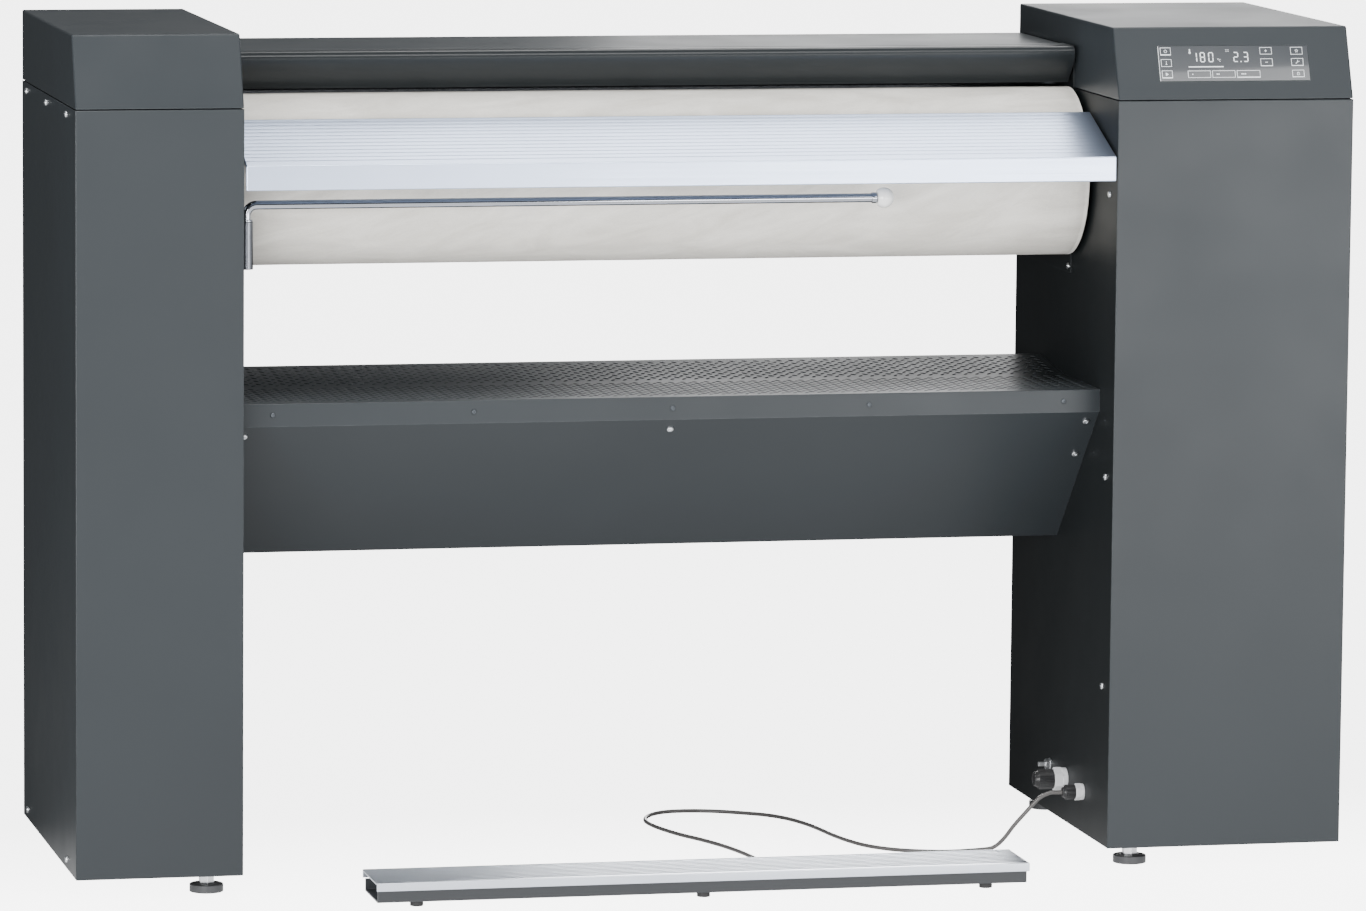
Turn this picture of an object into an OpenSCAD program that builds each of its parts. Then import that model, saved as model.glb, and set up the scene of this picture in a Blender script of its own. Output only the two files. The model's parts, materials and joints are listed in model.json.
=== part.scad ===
// Rotary flatwork ironer: a padded roll between two cabinets, a heated trough that
// swings on to the roll, a feed board, a laundry tray and a foot bar on a cable.
// X runs along the roll, Y from the operator to the back, Z up from the floor.

/* [Cabinets] */
// Width of the whole machine
machine_w = 1576; // [1400:2:2200]
// Depth of both cabinets
body_d = 470; // [460:2:560]
// Height of the machine above the floor
body_h = 1034; // [1020:2:1140]
// Width of the left cabinet
left_w = 202; // [180:2:260]
// Width of the right cabinet
right_w = 298; // [290:2:380]
// Height of the lids
lid_h = 86; // [80:1:110]
// How far the top front edge of a lid leans back
lid_lean = 34; // [20:1:60]
// Thickness of the outer panels and lids
sheet_t = 1.5; // [1:0.1:2]
// Thickness of the walls that carry the roll
wall_t = 3; // [2.5:0.1:4]
// Shadow gap under the lids
lid_gap = 1.6; // [0.8:0.1:3]
// Depth of the folded flanges of the front and rear panels
fold_d = 50; // [46:1:60]
// Depth of the folded flanges at the top and bottom of the side walls
flange_d = 22; // [18:1:30]
// How far the rear panels sit inside the back edge
rear_inset = 3; // [3:0.1:8]
// Thickness of the frame bars
frame_t = 4; // [3:0.5:6]
// Height of the frame bars
frame_h = 28; // [26:1:40]
// Leg of the frame's corner posts
post_w = 28; // [24:1:36]

/* [Feet] */
// Height of the levelling feet under the cabinets
foot_h = 24; // [22:1:40]
// Radius of a foot's pad
pad_r = 20.5; // [16:0.5:26]
// Height of a foot's pad
pad_h = 11; // [8:0.5:14]
// Width across the flats of a foot's hexagon
hex_w = 17; // [14:0.5:20]
// Radius of a foot's stud
stud_r = 6; // [5:0.5:8]
// Length of a foot's stud above the cabinet's bottom
stud_l = 52; // [40:1:80]
// Distance of the feet from the inner walls
foot_in = 39; // [34:1:50]
// Distance of the feet from the front and back edges
foot_edge = 36.5; // [34:0.5:50]

/* [Roll] */
// Radius of the clothed roll
roll_r = 105; // [95:0.5:110]
// Distance of the roll's axis behind the front plane
roll_back = 209; // [200:1:230]
// Height of the lid line above the roll's axis
roll_drop = 104; // [100:1:120]
// Gap between the roll's ends and the walls
roll_gap = 6; // [5:0.5:12]
// Thickness of the cloth
cloth_t = 2; // [1:0.25:4]
// Thickness of the padding
padding_t = 12; // [6:0.5:16]
// Wall of the roll's steel tube
tube_t = 5; // [3:0.5:8]
// Thickness of the roll's end discs
disc_t = 10; // [6:0.5:16]
// Radius of the roll's journals
journal_r = 15; // [12:0.5:18]
// Radius of the bearing flanges
bearing_r = 44; // [36:1:50]
// Thickness of the bearing flanges
bearing_t = 8; // [6:0.5:12]
// Length of the bearing housings
bearing_l = 30; // [22:1:34]

/* [Roll drive] */
// Radius of the pulley on the roll
big_r = 90; // [70:1:96]
// Radius of the pulley on the gear motor
small_r = 32; // [26:1:40]
// Width of the drive belt
belt_w = 18; // [12:1:24]
// Thickness of the drive belt
belt_t = 5; // [3:0.5:7]
// Height of the rims beside the belt
rim_h = 4; // [3:0.5:5]
// Width of each rim
rim_w = 3; // [2:0.5:4]
// Distance between the two pulley axes
pulley_d = 232; // [200:1:260]
// Radius of the drive shaft
drive_r = 10; // [8:0.5:12]
// Length of the drive gearbox
gearbox_l = 60; // [50:1:66]
// Half the width of the drive gearbox
gearbox_r = 48; // [40:1:54]
// Radius of the drive motor
motor_r = 44; // [34:1:48]
// Length of the drive motor
motor_l = 110; // [80:1:120]

/* [Heated trough] */
// Thickness of the heated plate
plate_t = 12; // [8:0.5:16]
// Gap between the heated plate and the roll when pressed
press_gap = 1; // [0.8:0.1:2]
// Lower end of the heated plate, as an angle below the level
trough_low_angle = 50; // [40:1:55]
// Upper end of the heated plate, as an angle above the level
trough_high_angle = 75; // [60:1:78]
// Radius of the tubular heaters
heater_r = 4.25; // [3:0.25:5]
// Thickness of the cover sheet behind the heaters
backing_t = 1.5; // [1:0.1:3]
// Radius of the pins that carry the trough
pin_r = 8; // [6:0.5:10]
// Distance of the carrying pins from the roll's axis
pin_reach = 150; // [146:1:160]
// Height angle of the carrying pins
pin_angle = 10; // [5:1:15]

/* [Press linkage] */
// Angle of the arms between the open and the pressed trough
press_angle = 1.6; // [1.2:0.1:1.8]
// Distance of the press shaft in front of the back plane
press_in = 140; // [125:1:150]
// Distance of the press shaft below the roll's axis
press_drop = 304; // [296:1:320]
// Radius of the press shaft
press_r = 14; // [10:0.5:16]
// Thickness of the press arms
arm_t = 8; // [6:0.5:12]
// Half the width of the press arms
arm_r = 22; // [19:0.5:26]
// Length of the lever that the cam pushes
lever_l = 90; // [80:1:100]
// Radius of the lever's roller
roller_r = 10; // [8:0.5:12]
// Distance of the cam's axis in front of the lever's roller
cam_d = 60; // [56:1:64]
// Turn of the cam between open and pressed
cam_angle = 60; // [45:1:90]
// Radius of the cam shaft
cam_shaft_r = 8; // [6:0.5:9]
// Half the width of the press motor's gearbox
press_box_r = 34; // [30:1:40]
// Radius of the press motor
press_motor_r = 28; // [22:1:30]
// Length of the press motor with its gearbox
press_motor_l = 130; // [100:1:160]

/* [Trough cover] */
// Height of the cover's top above the roll
cover_rise = 50; // [46:1:58]
// Distance of the cover's front edge behind the roll's axis
cover_front = 4; // [2:0.5:8]
// Distance of the cover's back from the cabinets' back edge
cover_back = 30; // [20:1:40]
// Distance of the cover's lower edge below the roll's axis
cover_drop = 104; // [95:1:108]
// Depth of the cover's lower flange
cover_lip = 30; // [20:1:40]
// Height of the raised front strip of the cover
cover_step = 1.5; // [1:0.1:3]
// Depth of the raised front strip of the cover
cover_strip = 26; // [20:1:34]
// Gap between the cover's ends and the wall plates
cover_gap = 5; // [4:0.5:8]
// Reach of the finger guard in front of the cover
guard_reach = 32; // [28:1:36]
// Gap between the finger guard and the roll
guard_gap = 5; // [4.5:0.1:8]
// Gap between the finger guard and the cover
guard_seam = 2.5; // [2:0.1:4]
// Radius of the finger guard's hinge pins
guard_pin_r = 3; // [2:0.25:4]
// Thickness of the plates on the inner faces of the walls
wall_plate_t = 1.5; // [1:0.1:2]

/* [Feed board] */
// Reach of the feed board in front of the front plane
board_out = 2; // [0:0.5:6]
// Distance of the board's back edge behind the front plane
board_in = 122; // [110:1:126]
// Height of the board's back edge above the roll's axis
board_rise = 80; // [76:1:88]
// Fall of the board from back to front
board_fall = 45; // [35:1:55]
// Height of the board's front face
board_face = 30; // [24:1:36]
// Thickness of the board
board_t = 5; // [3:0.5:8]
// Gap between the board's ends and the walls
board_gap = 2.4; // [1:0.1:4]
// Width of the brackets under the board and behind the apron
bracket_w = 26; // [18:1:40]
// Thickness of the brackets under the board and behind the apron
bracket_t = 3; // [2:0.5:5]

/* [Tray] */
// Distance of the tray's front edge behind the front plane
tray_front = 66; // [58:1:80]
// Distance of the fold in the tray behind the front plane
tray_fold = 227; // [215:1:240]
// Distance of the tray's back edge behind the front plane
tray_back = 350; // [348:1:364]
// Distance of the tray below the roll's axis
tray_drop = 258; // [250:1:264]
// Rise of the tray behind its fold
tray_rise = 13; // [8:0.5:18]
// Height of the tray's front lip
tray_lip = 28; // [24:1:34]
// Height of the tray's rear flange
tray_tail = 24; // [16:1:26]
// Depth of the apron from front to back
apron_d = 188; // [170:1:200]
// Height of the apron below the tray's lip
apron_h = 179; // [160:1:200]
// Depth of the apron's lower flange
apron_fold = 12; // [8:1:20]
// Width of the square cross beam under the tray
beam_w = 50; // [40:1:60]
// Wall of the cross beam
beam_t = 3; // [2:0.5:5]
// Distance of the cross beam behind the front plane
beam_back = 160; // [150:1:190]
// Rivets along the tray's lip
rivet_n = 5; // [3:1:9]
// Radius of the rivet heads
rivet_r = 3.2; // [2.5:0.1:4.5]

/* [Linen rod] */
// Radius of the linen rod
rod_r = 5.5; // [4.5:0.25:6.5]
// Length of the linen rod from its pivot to its knob
rod_l = 783; // [600:1:900]
// Distance of the rod below the roll's axis
rod_drop = 15; // [12:1:24]
// Distance of the rod behind the front plane
rod_back = 35; // [28:1:44]
// Radius of the rod's bend
rod_bend = 16; // [12:1:24]
// Radius of the socket's tube
socket_r = 8; // [7.25:0.25:9]
// Length of the socket's tube
socket_l = 57; // [40:1:70]
// Distance of the socket's top below the rod
socket_drop = 20; // [18:1:30]
// Radius of the rod's knob
knob_r = 12.5; // [10:0.5:16]

/* [Foot bar] */
// Length of the foot bar's plate
bar_l = 804; // [700:2:900]
// Depth of the foot bar's plate
bar_d = 98; // [90:1:110]
// Distance of the bar's front edge in front of the cabinets
bar_reach = 117; // [110:1:160]
// Distance of the bar's middle from the roll's middle
bar_shift = 6; // [-60:1:60]
// Height of the foot bar
bar_h = 31; // [30:1:40]
// Thickness of the foot bar's plate
bar_t = 3; // [2:0.25:4]
// Height of the foot bar's front and back lips
bar_lip = 10; // [9:0.5:12]
// Gap between the lips and the channel
bar_clear = 4.5; // [2:0.5:6]
// Height of the channel's walls
channel_h = 15; // [13:0.5:16]
// Thickness of the channel
channel_t = 2; // [1.5:0.25:3]
// Height of the foot bar's own feet
stub_h = 6; // [5:0.5:10]
// Radius of the foot bar's own feet
stub_r = 8; // [6:0.5:10]
// Distance between the foot bar's own feet
stub_pitch = 351; // [300:1:380]
// Travel of the foot bar's plate
bar_travel = 6; // [4:0.5:6]
// Radius of the springs under the plate
coil_r = 7; // [5:0.5:9]
// Radius of the springs' wire
wire_r = 0.9; // [0.6:0.1:1.2]
// Radius of the guide posts under the plate
post_r = 4; // [3:0.5:6]
// Radius of the cable to the foot bar
cable_r = 2.5; // [2:0.25:2.5]

/* [Controls and fittings] */
// Width of the display glass
glass_w = 191; // [150:1:200]
// Height of the display glass along the slant
glass_h = 45; // [36:1:52]
// Distance of the glass from the inner edge of the right lid
glass_in = 54; // [40:1:80]
// Distance of the glass above the lid line, along the slant
glass_up = 23; // [18:1:30]
// How far the glass stands proud
glass_proud = 0.5; // [0.2:0.1:1]
// Thickness of the circuit boards
pcb_t = 1.6; // [1:0.1:2.4]
// Distance between the display glass and its circuit board
pcb_gap = 8; // [6:0.5:12]
// Radius of the bore of the mains gland
mains_r = 6.5; // [4:0.5:8]
// Radius of the nut of the mains gland
mains_nut_r = 15; // [12:0.5:18]
// Length of the mains gland outside the wall
mains_l = 42; // [34:1:50]
// Distance of the mains gland behind the front plane
mains_back = 195; // [180:1:230]
// Height of the mains gland above the cabinet's bottom
mains_up = 55; // [50:1:80]
// Radius of the nut of the foot cable's gland
small_nut_r = 11; // [9:0.5:13]
// Length of the foot cable's gland outside the wall
small_gland_l = 27; // [22:1:34]
// Distance of the foot cable's gland behind the front plane
small_back = 114; // [104:1:124]
// Height of the foot cable's gland above the cabinet's bottom
small_up = 52; // [50:1:60]
// Radius of the earth stud
earth_r = 3; // [2.5:0.5:4]
// Length of the earth stud outside the wall
earth_l = 16; // [12:1:24]
// Distance of the earth stud behind the front plane
earth_back = 269; // [255:1:290]
// Radius of the panel screws' heads
head_r = 4.2; // [3:0.1:5]
// Height of the panel screws' heads
head_h = 2.4; // [1.5:0.1:2.8]
// Radius of the panel screws' shanks
shank_r = 2; // [1.5:0.1:2.5]
// Length of the panel screws' shanks
shank_l = 12; // [10:0.5:16]

/* [Clearances] */
// Gap between panels, and between loosely fitted pieces
seam = 0.4; // [0.3:0.05:0.8]
// Radial clearance of shafts and pins in their bores
fit = 0.05; // [0.02:0.01:0.1]
// Clearance between the belt or the cam and what runs against it
run_gap = 0.5; // [0.4:0.05:0.8]

/* [Hidden] */
$fn = 64;
overrun = 1;
left_x = -machine_w / 2;
right_x = machine_w / 2;
left_in = left_x + left_w;
right_in = right_x - right_w;
roll_mid = (left_in + right_in) / 2;
front_y = -(body_d - bar_reach) / 2;
back_y = front_y + body_d;
lid_z = body_h - lid_h;
pan_top = lid_z - lid_gap;
lid_angle = atan2(lid_lean, lid_h);
roll_y = front_y + roll_back;
roll_z = lid_z - roll_drop;
roll_x0 = left_in + roll_gap;
roll_x1 = right_in - roll_gap;
padding_r = roll_r - cloth_t;
tube_r = padding_r - padding_t;

// The frame stands inside the folded panels
frame_in = wall_t + seam + sheet_t + seam;
frame_out = sheet_t + seam + sheet_t + seam;
frame_y0 = front_y + sheet_t + seam;
frame_y1 = back_y - rear_inset - sheet_t - seam;
frame_z0 = foot_h + wall_t;
frame_z1 = pan_top - wall_t;
pan_y0 = front_y + fold_d + 2 * seam;
pan_y1 = back_y - rear_inset - fold_d - 2 * seam;

// Places of the panel screws, as shares of the depth and the height
side_top_shares = [0.16, 0.533, 0.911];
side_low_shares = [0.168, 0.913];
wall_screw_shares = [0.214, 0.495, 0.872];
rear_screw_shares = [0.03, 0.5, 0.97];
side_screw_drop = wall_t + frame_h / 4;
side_screw_rise = wall_t + frame_h / 3;
wall_screw_back = frame_t + sheet_t + post_w;
hole_r = shank_r + seam;

// The roll's drive stands in the right cabinet, one plane after another
bearing_x = right_in + wall_t + bearing_l;
pulley_x0 = bearing_x + frame_t;
pulley_w = belt_w + 2 * rim_w + 2 * seam;
pulley_x1 = pulley_x0 + pulley_w;
gearbox_x0 = pulley_x1 + frame_t;
drive_y = roll_y;
drive_z = roll_z - pulley_d;
spoke_share = 0.58;
spoke_hole_share = 0.17;

// The press linkage turns about a shaft under the tray
press_y = back_y - press_in;
press_z = roll_z - press_drop;
arm_gap = 2 * frame_t;
post_in = wall_t + arm_gap + arm_t + seam - frame_in;
pin_y = roll_y + pin_reach * cos(pin_angle);
pin_z = roll_z + pin_reach * sin(pin_angle);
plate_r0 = roll_r + press_gap;
plate_r1 = plate_r0 + plate_t;
backing_r0 = plate_r1 + 2 * heater_r + seam;
backing_r1 = backing_r0 + backing_t;
plate_x0 = roll_x0 + seam;
plate_x1 = roll_x1 - seam;
heater_shares = [0.1, 0.3, 0.5, 0.7, 0.9];
lever_rise = lever_l * sin(press_angle);
cam_r = cam_d - lever_rise - roller_r - run_gap;
cam_y = press_y - cam_d;
cam_z = press_z - lever_l;
slot_r = pin_r + frame_t;

// The cover, its finger guard and the wall plates
cover_top = roll_z + roll_r + cover_rise;
cover_y0 = roll_y + cover_front;
cover_y1 = back_y - cover_back;
cover_z0 = roll_z - cover_drop;
cover_x0 = left_in + wall_plate_t + cover_gap;
cover_x1 = right_in - wall_plate_t - cover_gap;
guard_drop = cover_rise - guard_gap + cover_step;
guard_pin_y = cover_y0 + 2 * guard_seam;
guard_pin_z = cover_top - 4 * guard_pin_r;
guard_shares = [[0.05, 0], [0.66, 0], [0.9, 0.06], [1, 0.19], [0.8, 0.47], [0.44, 0.72], [0.1, 0.91], [0, 1]];

// The feed board
board_y0 = front_y - board_out;
board_y1 = front_y + board_in;
board_z1 = roll_z + board_rise;
board_z0 = board_z1 - board_fall;
bracket_shares = [0.12, 0.8];

// The tray and its apron
tray_y0 = front_y + tray_front;
tray_y1 = front_y + tray_fold;
tray_y2 = front_y + tray_back;
tray_z = roll_z - tray_drop;
apron_y0 = tray_y0 + sheet_t;
apron_z0 = tray_z - tray_lip;
beam_y = front_y + beam_back;
beam_z = tray_z - sheet_t;
rivet_share = 0.915;
apron_screw_shares = [0.07, 0.33];
apron_bracket_shares = [0.02, 0.4];
apron_slope = [[apron_y0, apron_z0], [tray_y0 + apron_d, apron_z0 - apron_h]];

// The linen rod
rod_x = left_in + socket_r + seam;
rod_y = front_y + rod_back;
rod_z = roll_z - rod_drop;
socket_z1 = rod_z - socket_drop;

// The foot bar
bar_y0 = front_y - bar_reach;
bar_x = roll_mid + bar_shift;
channel_l = bar_l - 2 * channel_t;
channel_y0 = bar_y0 + channel_t + bar_clear;
channel_y1 = bar_y0 + bar_d - channel_t - bar_clear;
channel_z = stub_h + channel_t;
stub_edge = stub_r + channel_t;
coil_turns = 4;

// The glass, the glands and the earth stud
glass_x0 = right_in + glass_in;
mains_y = front_y + mains_back;
mains_z = foot_h + mains_up;
small_y = front_y + small_back;
small_z = foot_h + small_up;
earth_y = front_y + earth_back;
earth_z = foot_h + mains_up + mains_r;

// Route of the cable to the foot bar, from the small gland down to the floor, round
// the loop behind the bar and into the bar's channel
cable_z = cable_r;
cable_out = right_in - small_gland_l;
cable_in_y = channel_y1;
cable_in_x = 82;
cable_in_z = stub_h + channel_h / 3;
cable_route = [
    [cable_out, small_y, small_z],
    [cable_out - 3 * cable_r, small_y, small_z],
    [cable_out - 6 * cable_r, small_y, small_z],
    [436, -62, 71],
    [428, -60, 63],
    [419, -57, 52],
    [405, -51, 34],
    [394, -43, 16],
    [383, -38, 5],
    [370, -38, cable_z],
    [350, -43, cable_z],
    [320, -46, cable_z],
    [290, -38, cable_z],
    [258, -20, cable_z],
    [233, 10, cable_z],
    [218, 48, cable_z],
    [208, 92, cable_z],
    [202, 132, cable_z],
    [194, 174, cable_z],
    [180, 216, cable_z],
    [160, 247, cable_z],
    [130, 270, cable_z],
    [97, 288, cable_z],
    [62, 296, cable_z],
    [32, 291, cable_z],
    [10, 270, cable_z],
    [-2, 238, cable_z],
    [-2, 206, cable_z],
    [6, 168, cable_z],
    [20, 126, cable_z],
    [39, 84, cable_z],
    [56, 36, cable_z],
    [68, -14, cable_z],
    [76, -70, cable_z],
    [81, -124, cable_z],
    [82, -160, 4],
    [cable_in_x, cable_in_y + 8 * cable_r, cable_in_z],
    [cable_in_x, cable_in_y + 4 * cable_r, cable_in_z],
    [cable_in_x, cable_in_y, cable_in_z]
];

// Sides of the machine: -1 is the left cabinet and 1 the right one
function face_in(side) = side < 0 ? left_in : right_in;
function face_out(side) = side < 0 ? left_x : right_x;

function unit(v) = v / norm(v);
function leftward(v) = [-v[1], v[0]];
function side_of(p, i) = leftward(unit(p[i + 1] - p[i]));
// A path moved sideways by t, with mitred corners
function moved(p, t) = [for (i = [0 : len(p) - 1])
    let (a = side_of(p, max(i - 1, 0)), b = side_of(p, min(i, len(p) - 2)))
    p[i] + (a + b) * t / (1 + a * b)];
function backwards(p) = [for (i = [len(p) - 1 : -1 : 0]) p[i]];
// The section of a bent sheet of thickness t whose outer face follows the path p
function sheet_section(p, t) = concat(p, backwards(moved(p, t)));

// The point q turned about the point c by an angle about X
function turned(q, c, a) = c + [
    (q[0] - c[0]) * cos(a) - (q[1] - c[1]) * sin(a),
    (q[0] - c[0]) * sin(a) + (q[1] - c[1]) * cos(a)];

// A block from one corner to the opposite one
module block(p, q) {
    translate([min(p[0], q[0]), min(p[1], q[1]), min(p[2], q[2])])
        cube([abs(q[0] - p[0]), abs(q[1] - p[1]), abs(q[2] - p[2])]);
}

// A section in Y and Z, extruded along X
module along_x(x0, x1) {
    translate([min(x0, x1), 0, 0])
        rotate([90, 0, 90])
            linear_extrude(abs(x1 - x0)) children();
}

// A round bar along X about the point p in Y and Z
module bar_x(p, r, x0, x1) {
    translate([min(x0, x1), p[0], p[1]])
        rotate([0, 90, 0])
            cylinder(r = r, h = abs(x1 - x0));
}

// A ring sector about the point p, from one angle above the level to another
module arc_x(p, x0, x1, r0, r1, a0, a1) {
    translate([x0, p[0], p[1]])
        rotate([90, 0, 90])
            rotate([0, 0, a0])
                rotate_extrude(angle = a1 - a0)
                    translate([r0, 0]) square([r1 - r0, x1 - x0]);
}

module bent_sheet(p, t, x0, x1) {
    along_x(x0, x1) polygon(sheet_section(p, t));
}

// Places of the screws on the outer panel, the inner wall and the rear panel of a side
module outer_places(side) {
    for (share = side_top_shares) {
        translate([face_out(side), front_y + share * body_d, pan_top - side_screw_drop]) children();
    }
    for (share = side_low_shares) {
        translate([face_out(side), front_y + share * body_d, foot_h + side_screw_rise]) children();
    }
}
module inner_places(side) {
    for (share = wall_screw_shares) {
        translate([face_in(side), front_y + wall_screw_back, foot_h + share * (lid_z - foot_h)]) children();
    }
}
module plate_places(side) {
    translate([face_in(side) - side * wall_plate_t, roll_y + frame_t, cover_z0 - 4 * frame_t]) children();
    translate([face_in(side) - side * wall_plate_t, cover_y1 - cover_lip, cover_z0 - 4 * frame_t]) children();
}
module rear_places(side) {
    for (share = rear_screw_shares) {
        for (x = [face_in(side) + side * (frame_in + post_in + post_w / 2),
                face_out(side) - side * (frame_out + post_w / 2)]) {
            translate([x, back_y - rear_inset, frame_z0 + share * (frame_z1 - frame_z0)]) children();
        }
    }
}
// A screw whose head stands on a face, with its shank in the direction dir along X
module screw_x(dir) {
    bar_x([0, 0], head_r, 0, -dir * head_h);
    bar_x([0, 0], shank_r, 0, dir * shank_l);
}
module hole_x(r, l) {
    bar_x([0, 0], r, -l, l);
}

// A wall with flanges along its top and bottom, folded into the cabinet
module side_pan(face, dir, t) {
    block([face, front_y + sheet_t + seam, foot_h], [face + dir * t, back_y, pan_top]);
    block([face, pan_y0, foot_h], [face + dir * flange_d, pan_y1, foot_h + wall_t]);
    block([face, pan_y0, pan_top - wall_t], [face + dir * flange_d, pan_y1, pan_top]);
}

// The wall beside the roll, with everything that passes through it
module inner_wall(side) {
    face = face_in(side);
    difference() {
        side_pan(face, side, wall_t);
        translate([face, 0, 0]) {
            bar_x([roll_y, roll_z], journal_r + frame_t, -2 * wall_t, 2 * wall_t);
            bar_x([press_y, press_z], press_r + wall_t, -2 * wall_t, 2 * wall_t);
        }
        pin_slot(side);
        inner_places(side) hole_x(hole_r, 2 * wall_t);
        plate_places(side) hole_x(hole_r, 3 * wall_t);
        if (side > 0) {
            translate([face, 0, 0]) {
                bar_x([mains_y, mains_z], mains_r + wall_t, -2 * wall_t, 2 * wall_t);
                bar_x([small_y, small_z], cable_r + wall_t, -2 * wall_t, 2 * wall_t);
                bar_x([earth_y, earth_z], earth_r, -2 * wall_t, 2 * wall_t);
            }
        }
    }
}

// The slot in which a carrying pin swings
module pin_slot(side) {
    rest = turned([pin_y, pin_z], [press_y, press_z], -press_angle);
    face = face_in(side);
    for (p = [rest, [pin_y, pin_z]]) {
        translate([face, 0, 0]) bar_x(p, slot_r, -3 * wall_t, 3 * wall_t);
    }
    block([face - 3 * wall_t, pin_y, pin_z - slot_r], [face + 3 * wall_t, rest[0], pin_z + slot_r]);
}

module outer_panel(side) {
    difference() {
        side_pan(face_out(side), -side, sheet_t);
        outer_places(side) hole_x(hole_r, 2 * wall_t);
    }
}

module front_panel(side) {
    a = face_in(side) + side * (wall_t + seam);
    b = face_out(side) - side * (sheet_t + seam);
    difference() {
        union() {
            block([face_in(side), front_y, foot_h], [face_out(side), front_y + sheet_t, pan_top]);
            block([a, front_y, foot_h], [a + side * sheet_t, front_y + fold_d, pan_top]);
            block([b, front_y, foot_h], [b - side * sheet_t, front_y + fold_d, pan_top]);
        }
        inner_places(side) hole_x(hole_r, 4 * wall_t);
    }
}

module rear_panel(side) {
    a = face_in(side) + side * (wall_t + seam);
    b = face_out(side) - side * (sheet_t + seam);
    y = back_y - rear_inset;
    difference() {
        union() {
            block([a, y - sheet_t, foot_h], [b, y, pan_top]);
            block([a, y - fold_d, foot_h], [a + side * sheet_t, y, pan_top]);
            block([b, y - fold_d, foot_h], [b - side * sheet_t, y, pan_top]);
        }
        rear_places(side) rotate([90, 0, 0]) cylinder(r = hole_r, h = 2 * sheet_t, center = true);
        outer_places(side) hole_x(hole_r, 4 * wall_t);
        vents(side, y);
    }
}

// Rows of slots in the rear panel, low down and high up
module vents(side, y) {
    mid = (face_in(side) + face_out(side)) / 2;
    half = left_w / 4;
    for (row = [0 : 5]) {
        for (z = [frame_z0 + 2 * frame_h, frame_z1 - 6 * frame_h]) {
            block([mid - half, y - 2 * sheet_t, z + row * 4 * frame_t],
                [mid + half, y + sheet_t, z + row * 4 * frame_t + frame_t]);
        }
    }
}

// The welded frame inside a cabinet: two rings, four posts and two foot plates
module cabinet_frame(side) {
    a = face_in(side) + side * frame_in;
    b = face_out(side) - side * frame_out;
    foot_x = face_in(side) + side * foot_in;
    difference() {
        union() {
            for (z = [frame_z0, frame_z1 - frame_h]) {
                difference() {
                    block([a, frame_y0, z], [b, frame_y1, z + frame_h]);
                    block([a + side * frame_t, frame_y0 + frame_t, z - overrun],
                        [b - side * frame_t, frame_y1 - frame_t, z + frame_h + overrun]);
                }
            }
            for (x = [[a + side * post_in, side], [b, -side]], y = [[frame_y0, 1], [frame_y1, -1]]) {
                block([x[0], y[0], frame_z0], [x[0] + x[1] * post_w, y[0] + y[1] * frame_t, frame_z1]);
                block([x[0], y[0], frame_z0], [x[0] + x[1] * frame_t, y[0] + y[1] * post_w, frame_z1]);
            }
            for (y = [[frame_y0, foot_edge], [frame_y1, -foot_edge]]) {
                block([a, y[0], frame_z0], [b, y[0] + 2 * y[1], frame_z0 + frame_t]);
            }
        }
        for (y = [front_y + foot_edge, back_y - foot_edge]) {
            translate([foot_x, y, frame_z0 - overrun]) cylinder(r = stud_r + fit, h = 2 * frame_h);
        }
        outer_places(side) hole_x(hole_r, frame_h);
        rear_places(side) rotate([90, 0, 0]) cylinder(r = hole_r, h = frame_h, center = true);
    }
}

// The section of a lid, set inwards by t
function lid_section(t) = let (slope = norm([lid_lean, lid_h]), low = t > 0 ? -overrun : 0) [
    [front_y + low * lid_lean / lid_h + t * slope / lid_h, lid_z + low],
    [front_y + (lid_h - t) * lid_lean / lid_h + t * slope / lid_h, body_h - t],
    [back_y - t, body_h - t],
    [back_y - t, lid_z + low]];

// The frame of the slanted front of a lid: Z runs up the slant and Y into the lid
module on_slant() {
    translate([0, front_y, lid_z]) rotate([-lid_angle, 0, 0]) children();
}

module lid(side) {
    x0 = min(face_in(side), face_out(side));
    x1 = max(face_in(side), face_out(side));
    difference() {
        along_x(x0, x1) polygon(lid_section(0));
        along_x(x0 + sheet_t, x1 - sheet_t) polygon(lid_section(sheet_t));
        if (side > 0) {
            on_slant() block([glass_x0 - seam, -overrun, glass_up - seam],
                [glass_x0 + glass_w + seam, 2 * sheet_t, glass_up + glass_h + seam]);
        }
    }
    // Rails that rest on the flanges of the side walls
    for (x = [[x0, 1], [x1, -1]]) {
        block([x[0] + x[1] * sheet_t / 2, pan_y0, pan_top],
            [x[0] + x[1] * flange_d, pan_y1, lid_z + sheet_t]);
    }
}

// A levelling foot: a moulded pad, a hexagon and a stud
module levelling_foot(side, y) {
    x = face_in(side) + side * foot_in;
    hex_top = foot_h - (foot_h - pad_h) / 6;
    translate([x, y, 0]) {
        cylinder(r1 = pad_r, r2 = pad_r - pad_h / 6, h = pad_h * 2 / 3);
        translate([0, 0, pad_h * 2 / 3]) cylinder(r1 = pad_r - pad_h / 6, r2 = hex_w * 0.62, h = pad_h / 3);
        translate([0, 0, pad_h]) cylinder(r = hex_w / sqrt(3), h = hex_top - pad_h, $fn = 6);
        cylinder(r = stud_r, h = foot_h + stud_l);
    }
}

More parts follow.
